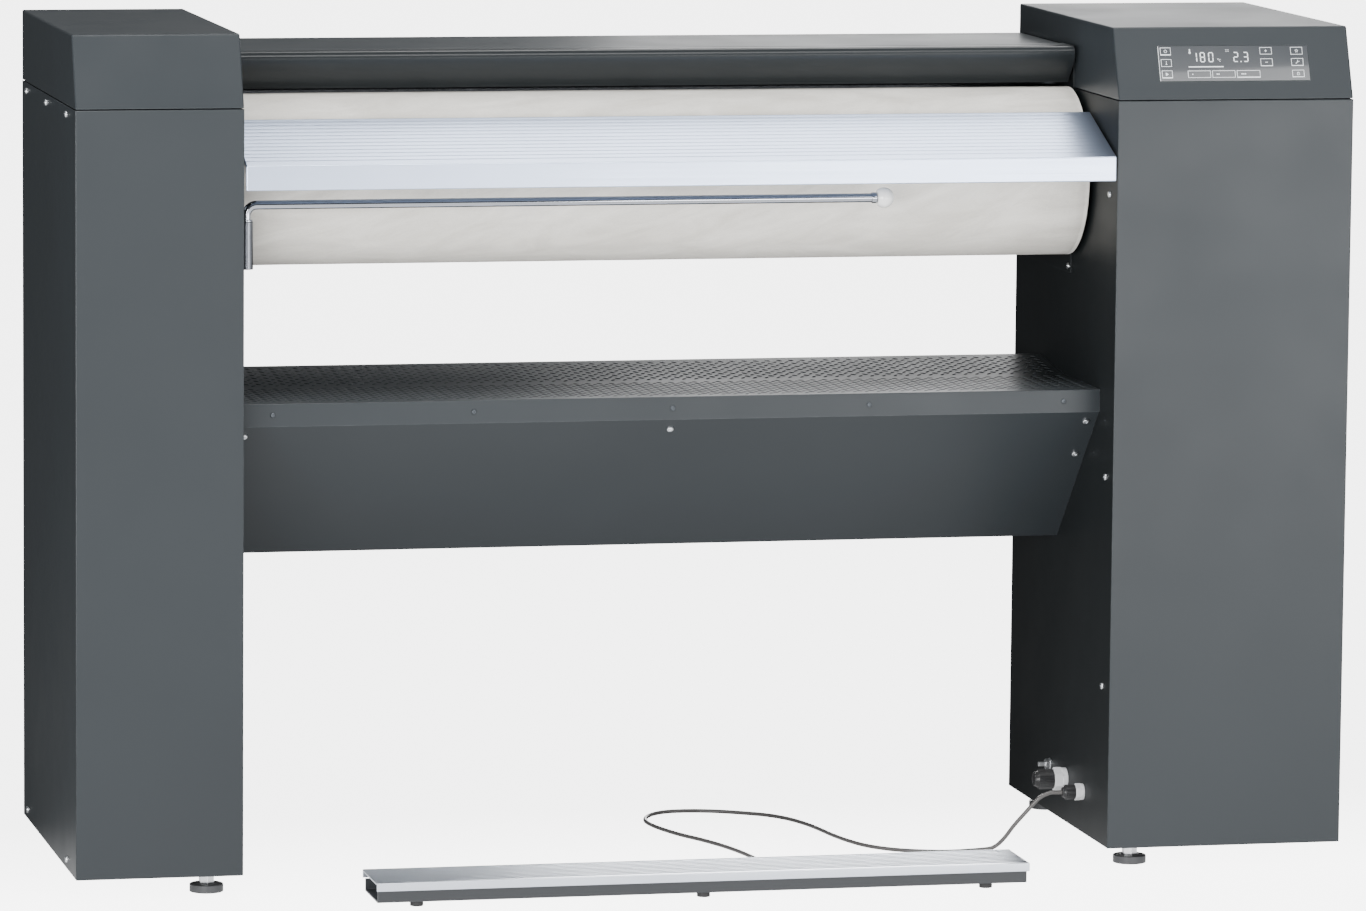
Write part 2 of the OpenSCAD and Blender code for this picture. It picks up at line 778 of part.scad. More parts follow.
// The roll
module roll_tube() {
    color("silver") difference() {
        bar_x([roll_y, roll_z], tube_r, roll_x0, roll_x1);
        bar_x([roll_y, roll_z], tube_r - tube_t, roll_x0 - overrun, roll_x1 + overrun);
    }
}
module roll_end(x_end, dir, x_tip) {
    bar_x([roll_y, roll_z], tube_r - tube_t, x_end, x_end + dir * disc_t);
    bar_x([roll_y, roll_z], journal_r * 2, x_end, x_end + dir * 4 * disc_t);
    bar_x([roll_y, roll_z], journal_r, x_tip, x_end + dir * disc_t);
}
module roll_padding() {
    color("tan") difference() {
        bar_x([roll_y, roll_z], padding_r, roll_x0, roll_x1);
        bar_x([roll_y, roll_z], tube_r, roll_x0 - overrun, roll_x1 + overrun);
    }
}
module roll_cloth() {
    color("linen") difference() {
        bar_x([roll_y, roll_z], roll_r, roll_x0, roll_x1);
        bar_x([roll_y, roll_z], padding_r, roll_x0 - overrun, roll_x1 + overrun);
    }
}
module roll_bearings() {
    color("dimgray") for (side = [-1, 1]) {
        x = face_in(side) + side * wall_t;
        difference() {
            union() {
                bar_x([roll_y, roll_z], bearing_r, x, x + side * bearing_t);
                bar_x([roll_y, roll_z], journal_r * 2, x, x + side * bearing_l);
                for (a = [45 : 90 : 315]) {
                    bolt = [roll_y, roll_z] + (bearing_r + journal_r * 2) / 2 * [cos(a), sin(a)];
                    bar_x(bolt, frame_t, x + side * bearing_t, x + side * (bearing_t + frame_t));
                }
            }
            bar_x([roll_y, roll_z], journal_r + fit, x - side * overrun, x + side * (bearing_l + overrun));
        }
    }
}

// A belt pulley with rims, from x0 to x1 about the point p
module pulley(p, r, x0, x1) {
    bar_x(p, r, x0, x1);
    bar_x(p, r + rim_h, x0, x0 + rim_w);
    bar_x(p, r + rim_h, x1 - rim_w, x1);
}
module roll_pulley() {
    color("gray") difference() {
        pulley([roll_y, roll_z], big_r, pulley_x0, pulley_x1);
        bar_x([roll_y, roll_z], journal_r, pulley_x0 - overrun, pulley_x1 + overrun);
        for (a = [0 : 60 : 300]) {
            hole = [roll_y, roll_z] + spoke_share * big_r * [cos(a), sin(a)];
            bar_x(hole, spoke_hole_share * big_r, pulley_x0 - overrun, pulley_x1 + overrun);
        }
    }
}
// The outline of a belt round both pulleys, in Y and Z, with its inner face at gap
function belt_outline(gap) = let (a = asin((big_r - small_r) / pulley_d)) concat(
    [for (i = [0 : 36]) [roll_y, roll_z] + (big_r + gap) * [cos(-a + i * (180 + 2 * a) / 36),
        sin(-a + i * (180 + 2 * a) / 36)]],
    [for (i = [0 : 24]) [drive_y, drive_z] + (small_r + gap) * [cos(180 + a + i * (180 - 2 * a) / 24),
        sin(180 + a + i * (180 - 2 * a) / 24)]]);
module drive_belt() {
    x0 = pulley_x0 + rim_w + seam;
    color("black") difference() {
        along_x(x0, x0 + belt_w) polygon(belt_outline(run_gap + belt_t));
        along_x(x0 - overrun, x0 + belt_w + overrun) polygon(belt_outline(run_gap));
    }
}
module drive_pulley() {
    color("gray") {
        pulley([drive_y, drive_z], small_r, pulley_x0, pulley_x1);
        bar_x([drive_y, drive_z], drive_r, pulley_x1, gearbox_x0 + gearbox_l / 2);
    }
}
module gear_motor() {
    shelf_z = drive_z - gearbox_r - frame_t;
    color("slategray") difference() {
        union() {
            block([gearbox_x0, drive_y - gearbox_r, drive_z - gearbox_r],
                [gearbox_x0 + gearbox_l, drive_y + gearbox_r, drive_z + gearbox_r]);
            bar_x([drive_y, drive_z], motor_r, gearbox_x0 + gearbox_l, gearbox_x0 + gearbox_l + motor_l);
            block([right_in + wall_t, drive_y - gearbox_r, shelf_z],
                [gearbox_x0 + gearbox_l, drive_y + gearbox_r, shelf_z + frame_t]);
            block([right_in + wall_t, drive_y - gearbox_r, shelf_z - gearbox_r],
                [right_in + wall_t + frame_t, drive_y + gearbox_r, shelf_z]);
        }
        bar_x([drive_y, drive_z], drive_r + fit, gearbox_x0 - overrun, gearbox_x0 + gearbox_l / 2 + seam);
    }
}

// The trough is drawn pressed on to the roll and then swung open about the press shaft
module swung_open() {
    translate([0, press_y, press_z]) rotate([-press_angle, 0, 0])
        translate([0, -press_y, -press_z]) children();
}
module heated_plate() {
    color("lightgray") swung_open()
        arc_x([roll_y, roll_z], plate_x0, plate_x1, plate_r0, plate_r1, -trough_low_angle, trough_high_angle);
}
function heater_place(share) = let (a = -trough_low_angle + share * (trough_low_angle + trough_high_angle))
    [roll_y, roll_z] + (plate_r1 + heater_r) * [cos(a), sin(a)];
module tubular_heaters() {
    color("darkred") swung_open()
        for (share = heater_shares) {
            bar_x(heater_place(share), heater_r, plate_x0 + disc_t, plate_x1 - disc_t);
        }
}
module heater_backing() {
    eye = [pin_y, pin_z];
    root = [roll_y, roll_z] + plate_r1 * unit(eye - [roll_y, roll_z]);
    color("gray") swung_open() {
        arc_x([roll_y, roll_z], plate_x0 + frame_t / 2, plate_x1 - frame_t / 2, backing_r0, backing_r1,
            -trough_low_angle, trough_high_angle);
        for (x = [plate_x0, plate_x1 - frame_t]) {
            difference() {
                union() {
                    arc_x([roll_y, roll_z], x, x + frame_t, roll_r, backing_r1 + backing_t,
                        -trough_low_angle, trough_high_angle);
                    flat_bar(root, eye, 1.5 * pin_r, x, x + frame_t);
                    bar_x(eye, 2 * pin_r, x, x + frame_t);
                }
                bar_x([roll_y, roll_z], plate_r1, x - overrun, x + frame_t + overrun);
                bar_x(eye, pin_r, x - overrun, x + frame_t + overrun);
            }
        }
    }
}
// A flat bar with round ends between two points in Y and Z
module flat_bar(p, q, r, x0, x1) {
    bar_x(p, r, x0, x1);
    bar_x(q, r, x0, x1);
    side = leftward(unit(q - p)) * r;
    along_x(x0, x1) polygon([p + side, p - side, q - side, q + side]);
}
module press_arm(side) {
    x0 = face_in(side) + side * (wall_t + arm_gap);
    x1 = x0 + side * arm_t;
    pin_end = side < 0 ? plate_x0 + frame_t : plate_x1 - frame_t;
    color("dimgray") swung_open() {
        difference() {
            union() {
                flat_bar([press_y, press_z], [pin_y, pin_z], arm_r, x0, x1);
                if (side > 0) {
                    flat_bar([press_y, press_z], [press_y, cam_z], roller_r, x0, x1);
                }
            }
            bar_x([press_y, press_z], press_r, x0 - side * overrun, x1 + side * overrun);
        }
        bar_x([pin_y, pin_z], pin_r, pin_end, x1);
    }
}
module press_shaft() {
    end = wall_t + arm_gap + arm_t + frame_t;
    color("silver") bar_x([press_y, press_z], press_r, left_in - end, right_in + end);
}
module press_bushes() {
    color("goldenrod") for (side = [-1, 1]) {
        x = face_in(side);
        difference() {
            union() {
                bar_x([press_y, press_z], press_r + wall_t, x, x + side * (wall_t + arm_gap - seam));
                bar_x([press_y, press_z], press_r + 3 * wall_t, x + side * wall_t, x + side * 2 * wall_t);
            }
            bar_x([press_y, press_z], press_r + fit, x - side * overrun, x + side * (wall_t + arm_gap));
        }
    }
}
// A snail cam: its radius grows steadily, so the lever's roller keeps its clearance
function cam_radius(a) = cam_r - a / cam_angle * lever_rise;
module press_cam() {
    x0 = right_in + wall_t + arm_gap;
    x1 = x0 + arm_t;
    color("silver") {
        along_x(x0, x1) polygon([for (i = [0 : 72])
            let (a = 180 - i * 5) [cam_y, cam_z] + cam_radius(a) * [cos(a), sin(a)]]);
        bar_x([cam_y, cam_z], cam_shaft_r, x1, x1 + 3 * arm_gap);
    }
}
module press_motor() {
    x0 = right_in + wall_t + arm_gap + arm_t + arm_gap;
    box_l = 4 * arm_gap;
    color("slategray") difference() {
        union() {
            block([x0, cam_y - press_box_r, cam_z - press_box_r],
                [x0 + box_l, cam_y + press_box_r, cam_z + press_box_r]);
            bar_x([cam_y, cam_z], press_motor_r, x0 + box_l, x0 + press_motor_l);
            block([right_in + wall_t, cam_y - press_box_r, cam_z - 2 * press_box_r],
                [x0 + box_l, cam_y + press_box_r, cam_z - 2 * press_box_r + frame_t]);
            block([x0, cam_y - press_box_r, cam_z - 2 * press_box_r],
                [x0 + box_l, cam_y + press_box_r, cam_z - press_box_r]);
            block([right_in + wall_t, cam_y - press_box_r, cam_z - 3 * press_box_r],
                [right_in + wall_t + frame_t, cam_y + press_box_r, cam_z - 2 * press_box_r]);
        }
        bar_x([cam_y, cam_z], cam_shaft_r + fit, x0 - overrun, x0 + 2 * arm_gap + seam);
    }
}

// The trough cover: a raised strip in front, the top, the back and a lower flange
module trough_cover() {
    color("dimgray") {
        bent_sheet([[cover_y1 - cover_lip, cover_z0], [cover_y1, cover_z0], [cover_y1, cover_top],
            [cover_y0 + cover_strip, cover_top], [cover_y0 + cover_strip - cover_step, cover_top + cover_step],
            [cover_y0, cover_top + cover_step], [cover_y0, cover_top - 2 * cover_step]],
            sheet_t, cover_x0, cover_x1);
        for (side = [-1, 1]) {
            cover_end(side);
        }
    }
}
// An end of the cover, with the eye of the finger guard and spacers against the wall plate
module cover_end(side) {
    x0 = side < 0 ? cover_x0 : cover_x1;
    x1 = x0 - side * sheet_t;
    wall = face_in(side) - side * wall_plate_t;
    edge = cover_y1 - sheet_t / 2;
    top = cover_top - sheet_t / 2;
    spacers = [[cover_y1 - 4 * frame_t, cover_top - 4 * frame_t],
        [cover_y1 - 4 * frame_t, cover_z0 + 4 * frame_t],
        [guard_pin_y + 6 * guard_pin_r, cover_top - 2 * guard_pin_r - frame_t]];
    difference() {
        along_x(x0, x1) polygon([[cover_y0 + sheet_t, top], [edge, top], [edge, cover_z0 + sheet_t / 2],
            [edge - cover_lip / 2, cover_z0 + sheet_t / 2], [edge - cover_lip / 2, top - cover_rise],
            [guard_pin_y, guard_pin_z - 2 * guard_pin_r], [cover_y0 + sheet_t, guard_pin_z - 2 * guard_pin_r]]);
        bar_x([guard_pin_y, guard_pin_z], guard_pin_r + fit, x0 + side * overrun, x1 - side * overrun);
        bar_x([roll_y, roll_z], plate_r1 + 4 * sheet_t + 2 * frame_t, x0 - frame_t, x0 + frame_t);
    }
    for (p = spacers) {
        bar_x(p, frame_t, wall, x1);
    }
}

// The finger guard in front of the cover; it gives way when fingers push it inwards
module finger_guard() {
    points = [for (share = guard_shares) [cover_y0 - guard_seam - share[0] * (guard_reach - guard_seam),
        cover_top + cover_step - share[1] * guard_drop]];
    ear = frame_t;
    color("dimgray") {
        bent_sheet(points, sheet_t, cover_x0, cover_x1);
        for (side = [-1, 1]) {
            x0 = (side < 0 ? cover_x0 : cover_x1) - side * (sheet_t + seam);
            bar_x([guard_pin_y, guard_pin_z], 2 * guard_pin_r, x0, x0 - side * ear);
            along_x(x0, x0 - side * ear) polygon([points[1] - [0, sheet_t / 2],
                [points[0][0], guard_pin_z + 2 * guard_pin_r], [guard_pin_y, guard_pin_z + 2 * guard_pin_r],
                [guard_pin_y, guard_pin_z - 2 * guard_pin_r], points[4] + [sheet_t / 2, 0],
                points[3] + [sheet_t / 2, 0]]);
            bar_x([guard_pin_y, guard_pin_z], guard_pin_r, x0, x0 + side * (2 * seam + sheet_t + frame_t / 2));
        }
    }
}

// Thin plates on the walls beside the trough, with the slots for the carrying pins
module wall_plates() {
    color("dimgray") for (side = [-1, 1]) {
        difference() {
            block([face_in(side), roll_y - sheet_t * 3, cover_z0 - 6 * frame_t],
                [face_in(side) - side * wall_plate_t, cover_y1, cover_top]);
            bar_x([roll_y, roll_z], journal_r + frame_t,
                face_in(side) - 2 * wall_t, face_in(side) + 2 * wall_t);
            pin_slot(side);
            plate_places(side) hole_x(hole_r, 3 * wall_t);
        }
    }
}

module feed_board() {
    color("lightsteelblue")
        bent_sheet([[board_y1, board_z1], [board_y0, board_z0], [board_y0, board_z0 - board_face]],
            board_t, left_in + board_gap, right_in - board_gap);
}
// Angle brackets on both walls, behind a face that runs from one point in Y and Z to another:
// legs are the widths of the wall flange at the start and at the end
module angle_brackets(face, shares, legs) {
    run = face[1] - face[0];
    a = face[0] + shares[0] * run;
    b = face[0] + shares[1] * run;
    for (side = [-1, 1]) {
        x = face_in(side);
        bent_sheet([a, b], bracket_t, min(x, x - side * bracket_w), max(x, x - side * bracket_w));
        along_x(x, x - side * bracket_t) polygon([a, b, b + legs[1], a + legs[0]]);
    }
}
module wall_brackets() {
    color("gray") difference() {
        union() {
            angle_brackets(moved([[board_y1, board_z1], [board_y0, board_z0]], board_t), bracket_shares,
                [[0, -board_face], [0, -board_face / 2]]);
            angle_brackets(moved(apron_slope, sheet_t), apron_bracket_shares, [[bracket_w, 0], [bracket_w, 0]]);
        }
        apron_places() cylinder(r = hole_r, h = 4 * (sheet_t + bracket_t), center = true);
    }
}

// The tray, its apron and what carries them
module tray() {
    color("slategray")
        bent_sheet([[tray_y2, tray_z + tray_rise - tray_tail], [tray_y2, tray_z + tray_rise], [tray_y1, tray_z],
            [tray_y0, tray_z], [tray_y0, tray_z - tray_lip]], sheet_t, left_in, right_in);
}
module apron() {
    end = apron_slope[1];
    color("slategray") difference() {
        bent_sheet([[apron_y0, tray_z - 2 * sheet_t], apron_slope[0], end, end + [apron_fold, 0]],
            sheet_t, left_in, right_in);
        rivet_places() rotate([90, 0, 0]) cylinder(r = rivet_r / 2, h = 4 * sheet_t, center = true);
        apron_places() cylinder(r = hole_r, h = 4 * sheet_t, center = true);
    }
}
// Places of the apron's screws, with Z along each screw from its point to its head
module apron_places() {
    run = apron_slope[1] - apron_slope[0];
    for (x = [left_in + bracket_w / 2, right_in - bracket_w / 2, roll_mid], share = apron_screw_shares) {
        if (x != roll_mid || share == apron_screw_shares[0]) {
            translate([x, apron_slope[0][0] + share * run[0], apron_slope[0][1] + share * run[1]])
                rotate([atan2(-run[1], -run[0]), 0, 0]) children();
        }
    }
}
module rivet_places() {
    span = (right_in - left_in) * rivet_share;
    for (i = [0 : rivet_n - 1]) {
        translate([roll_mid + (i / (rivet_n - 1) - 1 / 2) * span, tray_y0, tray_z - tray_lip / 2]) children();
    }
}
module tray_rivets() {
    color("silver") rivet_places() {
        rotate([90, 0, 0]) difference() {
            low_dome(rivet_r, rivet_r / 2);
            translate([0, 0, -rivet_r]) cube([4 * rivet_r, 4 * rivet_r, 2 * rivet_r], center = true);
        }
    }
}
// A low dome that stands on the plane Z = 0
module low_dome(r, h) {
    ball = (r * r + h * h) / (2 * h);
    intersection() {
        translate([0, 0, h - ball]) sphere(r = ball);
        cylinder(r = r, h = 2 * h, center = true);
    }
}
module cross_beam() {
    color("dimgray") {
        difference() {
            block([left_in, beam_y, beam_z - beam_w], [right_in, beam_y + beam_w, beam_z]);
            block([left_in - overrun, beam_y + beam_t, beam_z - beam_w + beam_t],
                [right_in + overrun, beam_y + beam_w - beam_t, beam_z - beam_t]);
        }
        for (side = [-1, 1]) {
            difference() {
                block([face_in(side), beam_y - beam_w / 4, beam_z - beam_w * 3 / 2],
                    [face_in(side) - side * frame_t, beam_y + beam_w * 3 / 2, beam_z]);
                block([face_in(side) - overrun, beam_y + beam_t, beam_z - beam_w + beam_t],
                    [face_in(side) + overrun, beam_y + beam_w - beam_t, beam_z - beam_t]);
            }
        }
    }
}

// The linen rod hangs in a socket on the left wall and swings out to the operator
module linen_rod() {
    color("silver") {
        bar_x([rod_y, rod_z], rod_r, rod_x + rod_bend, rod_x + rod_l);
        translate([rod_x + rod_bend, rod_y, rod_z - rod_bend]) rotate([90, 0, 0]) rotate([0, 0, 90])
            rotate_extrude(angle = 90) translate([rod_bend, 0]) circle(r = rod_r);
        translate([rod_x, rod_y, socket_z1 - socket_l + 2 * rod_r])
            cylinder(r = rod_r, h = rod_z - rod_bend - socket_z1 + socket_l - 2 * rod_r);
        translate([rod_x, rod_y, socket_z1 + fit]) cylinder(r = socket_r, h = rod_r / 2);
    }
}
module rod_knob() {
    x = rod_x + rod_l;
    color("white") translate([x, rod_y, rod_z]) rotate([0, 90, 0]) difference() {
        intersection() {
            sphere(r = knob_r);
            translate([0, 0, -knob_r * 0.7]) cylinder(r = 2 * knob_r, h = 2 * knob_r);
        }
        translate([0, 0, -knob_r]) cylinder(r = rod_r, h = knob_r);
    }
}
module rod_socket() {
    color("silver") {
        difference() {
            union() {
                translate([rod_x, rod_y, socket_z1 - socket_l]) cylinder(r = socket_r, h = socket_l);
                block([left_in, rod_y - socket_r / 2, socket_z1 - socket_l * 3 / 4],
                    [rod_x, rod_y + socket_r / 2, socket_z1]);
            }
            translate([rod_x, rod_y, socket_z1 - socket_l - overrun])
                cylinder(r = rod_r + fit, h = socket_l + 2 * overrun);
        }
    }
}

// The foot bar
module pedal_plate() {
    lip = bar_lip;
    color("lightsteelblue") {
        difference() {
            block([bar_x - bar_l / 2, bar_y0, bar_h - lip], [bar_x + bar_l / 2, bar_y0 + bar_d, bar_h]);
            block([bar_x - bar_l / 2 - overrun, bar_y0 + channel_t, bar_h - lip - overrun],
                [bar_x + bar_l / 2 + overrun, bar_y0 + bar_d - channel_t, bar_h - bar_t]);
        }
        post_places() translate([0, 0, bar_h - bar_t - (bar_h - bar_t - channel_z) * 3 / 5])
            cylinder(r = post_r, h = (bar_h - bar_t - channel_z) * 3 / 5 + bar_t / 2);
    }
}
module post_places() {
    for (i = [-1, 1]) {
        translate([bar_x + i * bar_l * 0.4, bar_y0 + bar_d / 2, 0]) children();
    }
}
module pedal_channel() {
    color("darkslategray") {
        difference() {
            block([bar_x - channel_l / 2, channel_y0, stub_h],
                [bar_x + channel_l / 2, channel_y1, stub_h + channel_h]);
            block([bar_x - channel_l / 2 - overrun, channel_y0 + channel_t, channel_z],
                [bar_x + channel_l / 2 + overrun, channel_y1 - channel_t, stub_h + channel_h + overrun]);
        }
        post_places() translate([0, 0, channel_z - channel_t / 2]) difference() {
            cylinder(r = post_r + channel_t, h = channel_h - channel_t);
            translate([0, 0, channel_t / 2]) cylinder(r = post_r + fit, h = channel_h);
        }
    }
}
// A spring's wire: one unbroken helix whose ends stand upright on the channel and the plate
function coil_point(t, h) = let (a = t * coil_turns * 360)
    [(coil_r - wire_r) * cos(a), (coil_r - wire_r) * sin(a), 2 * wire_r + t * (h - 4 * wire_r)];
function coil_path(h) = concat([[coil_r - wire_r, 0, 0]],
    [for (i = [0 : 8 * coil_turns]) coil_point(i / (8 * coil_turns), h)], [[coil_r - wire_r, 0, h]]);
// The least gap between the turns of a path, measured on points at least half a turn apart
function own_gap(p, r, apart) = min([for (i = [0 : len(p) - 1 - apart], j = [i + apart : len(p) - 1])
    norm(p[i] - p[j])]) - 2 * r;
echo("least gap within a spring", own_gap(coil_path(bar_h - bar_t - channel_z), wire_r, 4));
module tube_along(path, r, sides) {
    last = len(path) - 1;
    points = [for (i = [0 : last], k = [0 : sides - 1])
        let (d = unit(path[min(i + 1, last)] - path[max(i - 1, 0)]),
            level = [d[1], -d[0], 0], flat = norm(level) > wire_r / 100 ? unit(level) : [1, 0, 0],
            up = cross(flat, d), a = (k + 1 / 2) * 360 / sides)
        path[i] + r * (cos(a) * flat + sin(a) * up)];
    walls = [for (i = [0 : last - 1], k = [0 : sides - 1], half = [0, 1])
        let (n = (k + 1) % sides)
        half == 0 ? [i * sides + k, i * sides + n, (i + 1) * sides + n]
            : [i * sides + k, (i + 1) * sides + n, (i + 1) * sides + k]];
    ends = [for (k = [1 : sides - 2], end = [0, 1])
        end == 0 ? [0, k + 1, k] : [last * sides, last * sides + k, last * sides + k + 1]];
    polyhedron(points, concat(walls, ends));
}
module spring_places() {
    for (i = [-1, 0, 1]) {
        translate([bar_x + i * (stub_pitch - 8 * coil_r), bar_y0 + bar_d / 2, channel_z]) children();
    }
}
module pedal_springs() {
    h = bar_h - bar_t - channel_z;
    color("silver") spring_places()
        tube_along(coil_path(h), wire_r, 6);
}
module pedal_switches() {
    color("black") for (i = [-1, 1]) {
        translate([bar_x + i * stub_pitch / 2, bar_y0 + bar_d / 2, channel_z]) {
            block([-2 * coil_r, -coil_r / 2, 0], [2 * coil_r, coil_r / 2, channel_h * 0.6]);
            cylinder(r = wire_r * 2, h = bar_h - bar_t - channel_z - bar_travel - seam);
        }
    }
}
module pedal_feet() {
    color("black") for (i = [-1, 0, 1], y = [channel_y0 + stub_edge, channel_y1 - stub_edge]) {
        translate([bar_x + i * stub_pitch, y, 0]) cylinder(r = stub_r, h = stub_h);
    }
}

// The cable's curve through its route points
function curve_at(p, i, t) = let (
    a = p[max(i - 1, 0)], b = p[i], c = p[i + 1], d = p[min(i + 2, len(p) - 1)])
    (2 * b + (c - a) * t + (2 * a - 5 * b + 4 * c - d) * t * t + (3 * b - a - 3 * c + d) * t * t * t) / 2;
function lifted(p) = [p[0], p[1], max(p[2], cable_z)];
function cable_curve() = concat(
    [for (i = [0 : len(cable_route) - 2], t = [0, 1 / 2]) lifted(curve_at(cable_route, i, t))],
    [cable_route[len(cable_route) - 1]]);
module foot_cable() {
    color("black") tube_along(cable_curve(), cable_r, 8);
}
// A gland in the right wall: a nut and a dome outside, a nut inside
module gland(y, z, bore, nut_r, l) {
    dome = l * 0.62;
    difference() {
        union() {
            bar_x([y, z], bore + wall_t, right_in - l / 2, right_in + 3 * wall_t);
            translate([right_in - l + dome, y, z]) rotate([0, 90, 0])
                cylinder(r = nut_r, h = l - dome, $fn = 6);
            translate([right_in - l, y, z]) rotate([0, 90, 0])
                cylinder(r1 = nut_r * 0.62, r2 = nut_r * 0.82, h = dome / 3);
            bar_x([y, z], nut_r * 0.82, right_in - l + dome / 3, right_in - l + dome);
            translate([right_in + wall_t, y, z]) rotate([0, 90, 0])
                cylinder(r = nut_r, h = 2 * wall_t, $fn = 6);
        }
        bar_x([y, z], bore, right_in - l - overrun, right_in + 4 * wall_t);
    }
}
module cable_gland() {
    color("black") gland(small_y, small_z, cable_r, small_nut_r, small_gland_l);
}
module mains_gland() {
    color("black") gland(mains_y, mains_z, mains_r, mains_nut_r, mains_l);
}
module earth_stud() {
    color("silver") {
        bar_x([earth_y, earth_z], earth_r, right_in - earth_l, right_in + 3 * wall_t);
        translate([right_in - 2 * earth_r, earth_y, earth_z]) rotate([0, 90, 0])
            cylinder(r = 2 * earth_r, h = 2 * earth_r, $fn = 6);
        translate([right_in + wall_t, earth_y, earth_z]) rotate([0, 90, 0])
            cylinder(r = 2 * earth_r, h = wall_t, $fn = 6);
    }
}

// The display and the electronics
module display_glass() {
    color("black") on_slant() block([glass_x0, -glass_proud, glass_up],
        [glass_x0 + glass_w, sheet_t, glass_up + glass_h]);
}
module control_board() {
    edge = 2 * sheet_t;
    color("darkgreen") on_slant() {
        difference() {
            block([glass_x0 - edge, sheet_t, glass_up - edge],
                [glass_x0 + glass_w + edge, sheet_t + pcb_gap, glass_up + glass_h + edge]);
            block([glass_x0 + edge, 0, glass_up + edge],
                [glass_x0 + glass_w - edge, sheet_t + pcb_gap + overrun, glass_up + glass_h - edge]);
        }
        block([glass_x0 - edge, sheet_t + pcb_gap, glass_up - edge],
            [glass_x0 + glass_w + edge, sheet_t + pcb_gap + pcb_t, glass_up + glass_h + edge]);
    }
}
module power_board() {
    x = right_x - frame_out - frame_t;
    z = mains_z;
    y = back_y - body_d / 2;
    l = body_d / 4;
    color("darkgreen") {
        block([x, y - l, z], [x - pcb_t, y + l, z + l]);
        for (i = [-1, 1], k = [0, 1]) {
            bar_x([y + i * (l - 2 * frame_t), z + 2 * frame_t + k * (l - 4 * frame_t)], frame_t,
                x - pcb_t / 2, right_x - sheet_t);
        }
        block([x - pcb_t / 2, y - l / 2, z + l / 4], [x - pcb_t - l / 2, y - l / 8, z + l * 3 / 4]);
        block([x - pcb_t / 2, y + l / 8, z + l / 4], [x - pcb_t - l / 3, y + l * 3 / 4, z + l * 3 / 4]);
    }
}

module panel_screws() {
    color("silver") {
        for (side = [-1, 1]) {
            outer_places(side) screw_x(-side);
            inner_places(side) screw_x(side);
            plate_places(side) screw_x(side);
            rear_places(side) {
                rotate([-90, 0, 0]) cylinder(r = head_r, h = head_h);
                rotate([90, 0, 0]) cylinder(r = shank_r, h = shank_l);
            }
        }
        apron_places() {
            cylinder(r = head_r, h = head_h, $fn = 6);
            translate([0, 0, -sheet_t - bracket_t]) cylinder(r = shank_r, h = sheet_t + bracket_t);
        }
    }
}

// The cabinets' pieces, one of each for the left and the right side
module left_inner_wall() { color("dimgray") inner_wall(-1); }
module left_outer_panel() { color("slategray") outer_panel(-1); }
module left_front_panel() { color("slategray") front_panel(-1); }
module left_rear_panel() { color("slategray") rear_panel(-1); }
module left_lid() { color("slategray") lid(-1); }
module left_frame() { color("dimgray") cabinet_frame(-1); }
module right_inner_wall() { color("dimgray") inner_wall(1); }
module right_outer_panel() { color("slategray") outer_panel(1); }
module right_front_panel() { color("slategray") front_panel(1); }
module right_rear_panel() { color("slategray") rear_panel(1); }
module right_lid() { color("slategray") lid(1); }
module right_frame() { color("dimgray") cabinet_frame(1); }
module foot_front_left() { color("darkslategray") levelling_foot(-1, front_y + foot_edge); }
module foot_front_right() { color("darkslategray") levelling_foot(1, front_y + foot_edge); }
module foot_rear_left() { color("darkslategray") levelling_foot(-1, back_y - foot_edge); }
module foot_rear_right() { color("darkslategray") levelling_foot(1, back_y - foot_edge); }
module roll_end_left() { color("silver") roll_end(roll_x0, 1, left_in - wall_t - bearing_l - frame_t); }
module roll_end_right() { color("silver") roll_end(roll_x1, -1, pulley_x1); }
module press_arm_left() { press_arm(-1); }
module press_arm_right() { press_arm(1); }

left_inner_wall();
left_outer_panel();
left_front_panel();
left_rear_panel();
left_lid();
left_frame();
right_inner_wall();
right_outer_panel();
right_front_panel();
right_rear_panel();
right_lid();
right_frame();
foot_front_left();
foot_front_right();
foot_rear_left();
foot_rear_right();
panel_screws();
roll_tube();
roll_end_left();
roll_end_right();
roll_padding();
roll_cloth();
roll_bearings();
roll_pulley();
drive_belt();
drive_pulley();
gear_motor();
heated_plate();
tubular_heaters();
heater_backing();
press_arm_left();
press_arm_right();
press_shaft();
press_bushes();
press_cam();
press_motor();
trough_cover();
finger_guard();
wall_plates();
feed_board();
wall_brackets();
tray();
apron();
cross_beam();
tray_rivets();
linen_rod();
rod_knob();
rod_socket();
pedal_plate();
pedal_channel();
pedal_springs();
pedal_switches();
pedal_feet();
foot_cable();
cable_gland();
mains_gland();
earth_stud();
display_glass();
control_board();
power_board();
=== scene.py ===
# %% [markdown]
# # A rotary flatwork ironer
# A padded roll turns between two sheet metal cabinets, and a heated trough behind it swings on to
# the roll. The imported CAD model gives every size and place. This lesson gives it its visible skin:
# rounded sheet metal, cloth, polished and grooved aluminium, printed glass, plastic and a cable.
# Hidden pieces keep their CAD mesh and only get a material.

# %% Load the frame
import json
import math

import bmesh
import bpy
from mathutils import Matrix, Vector

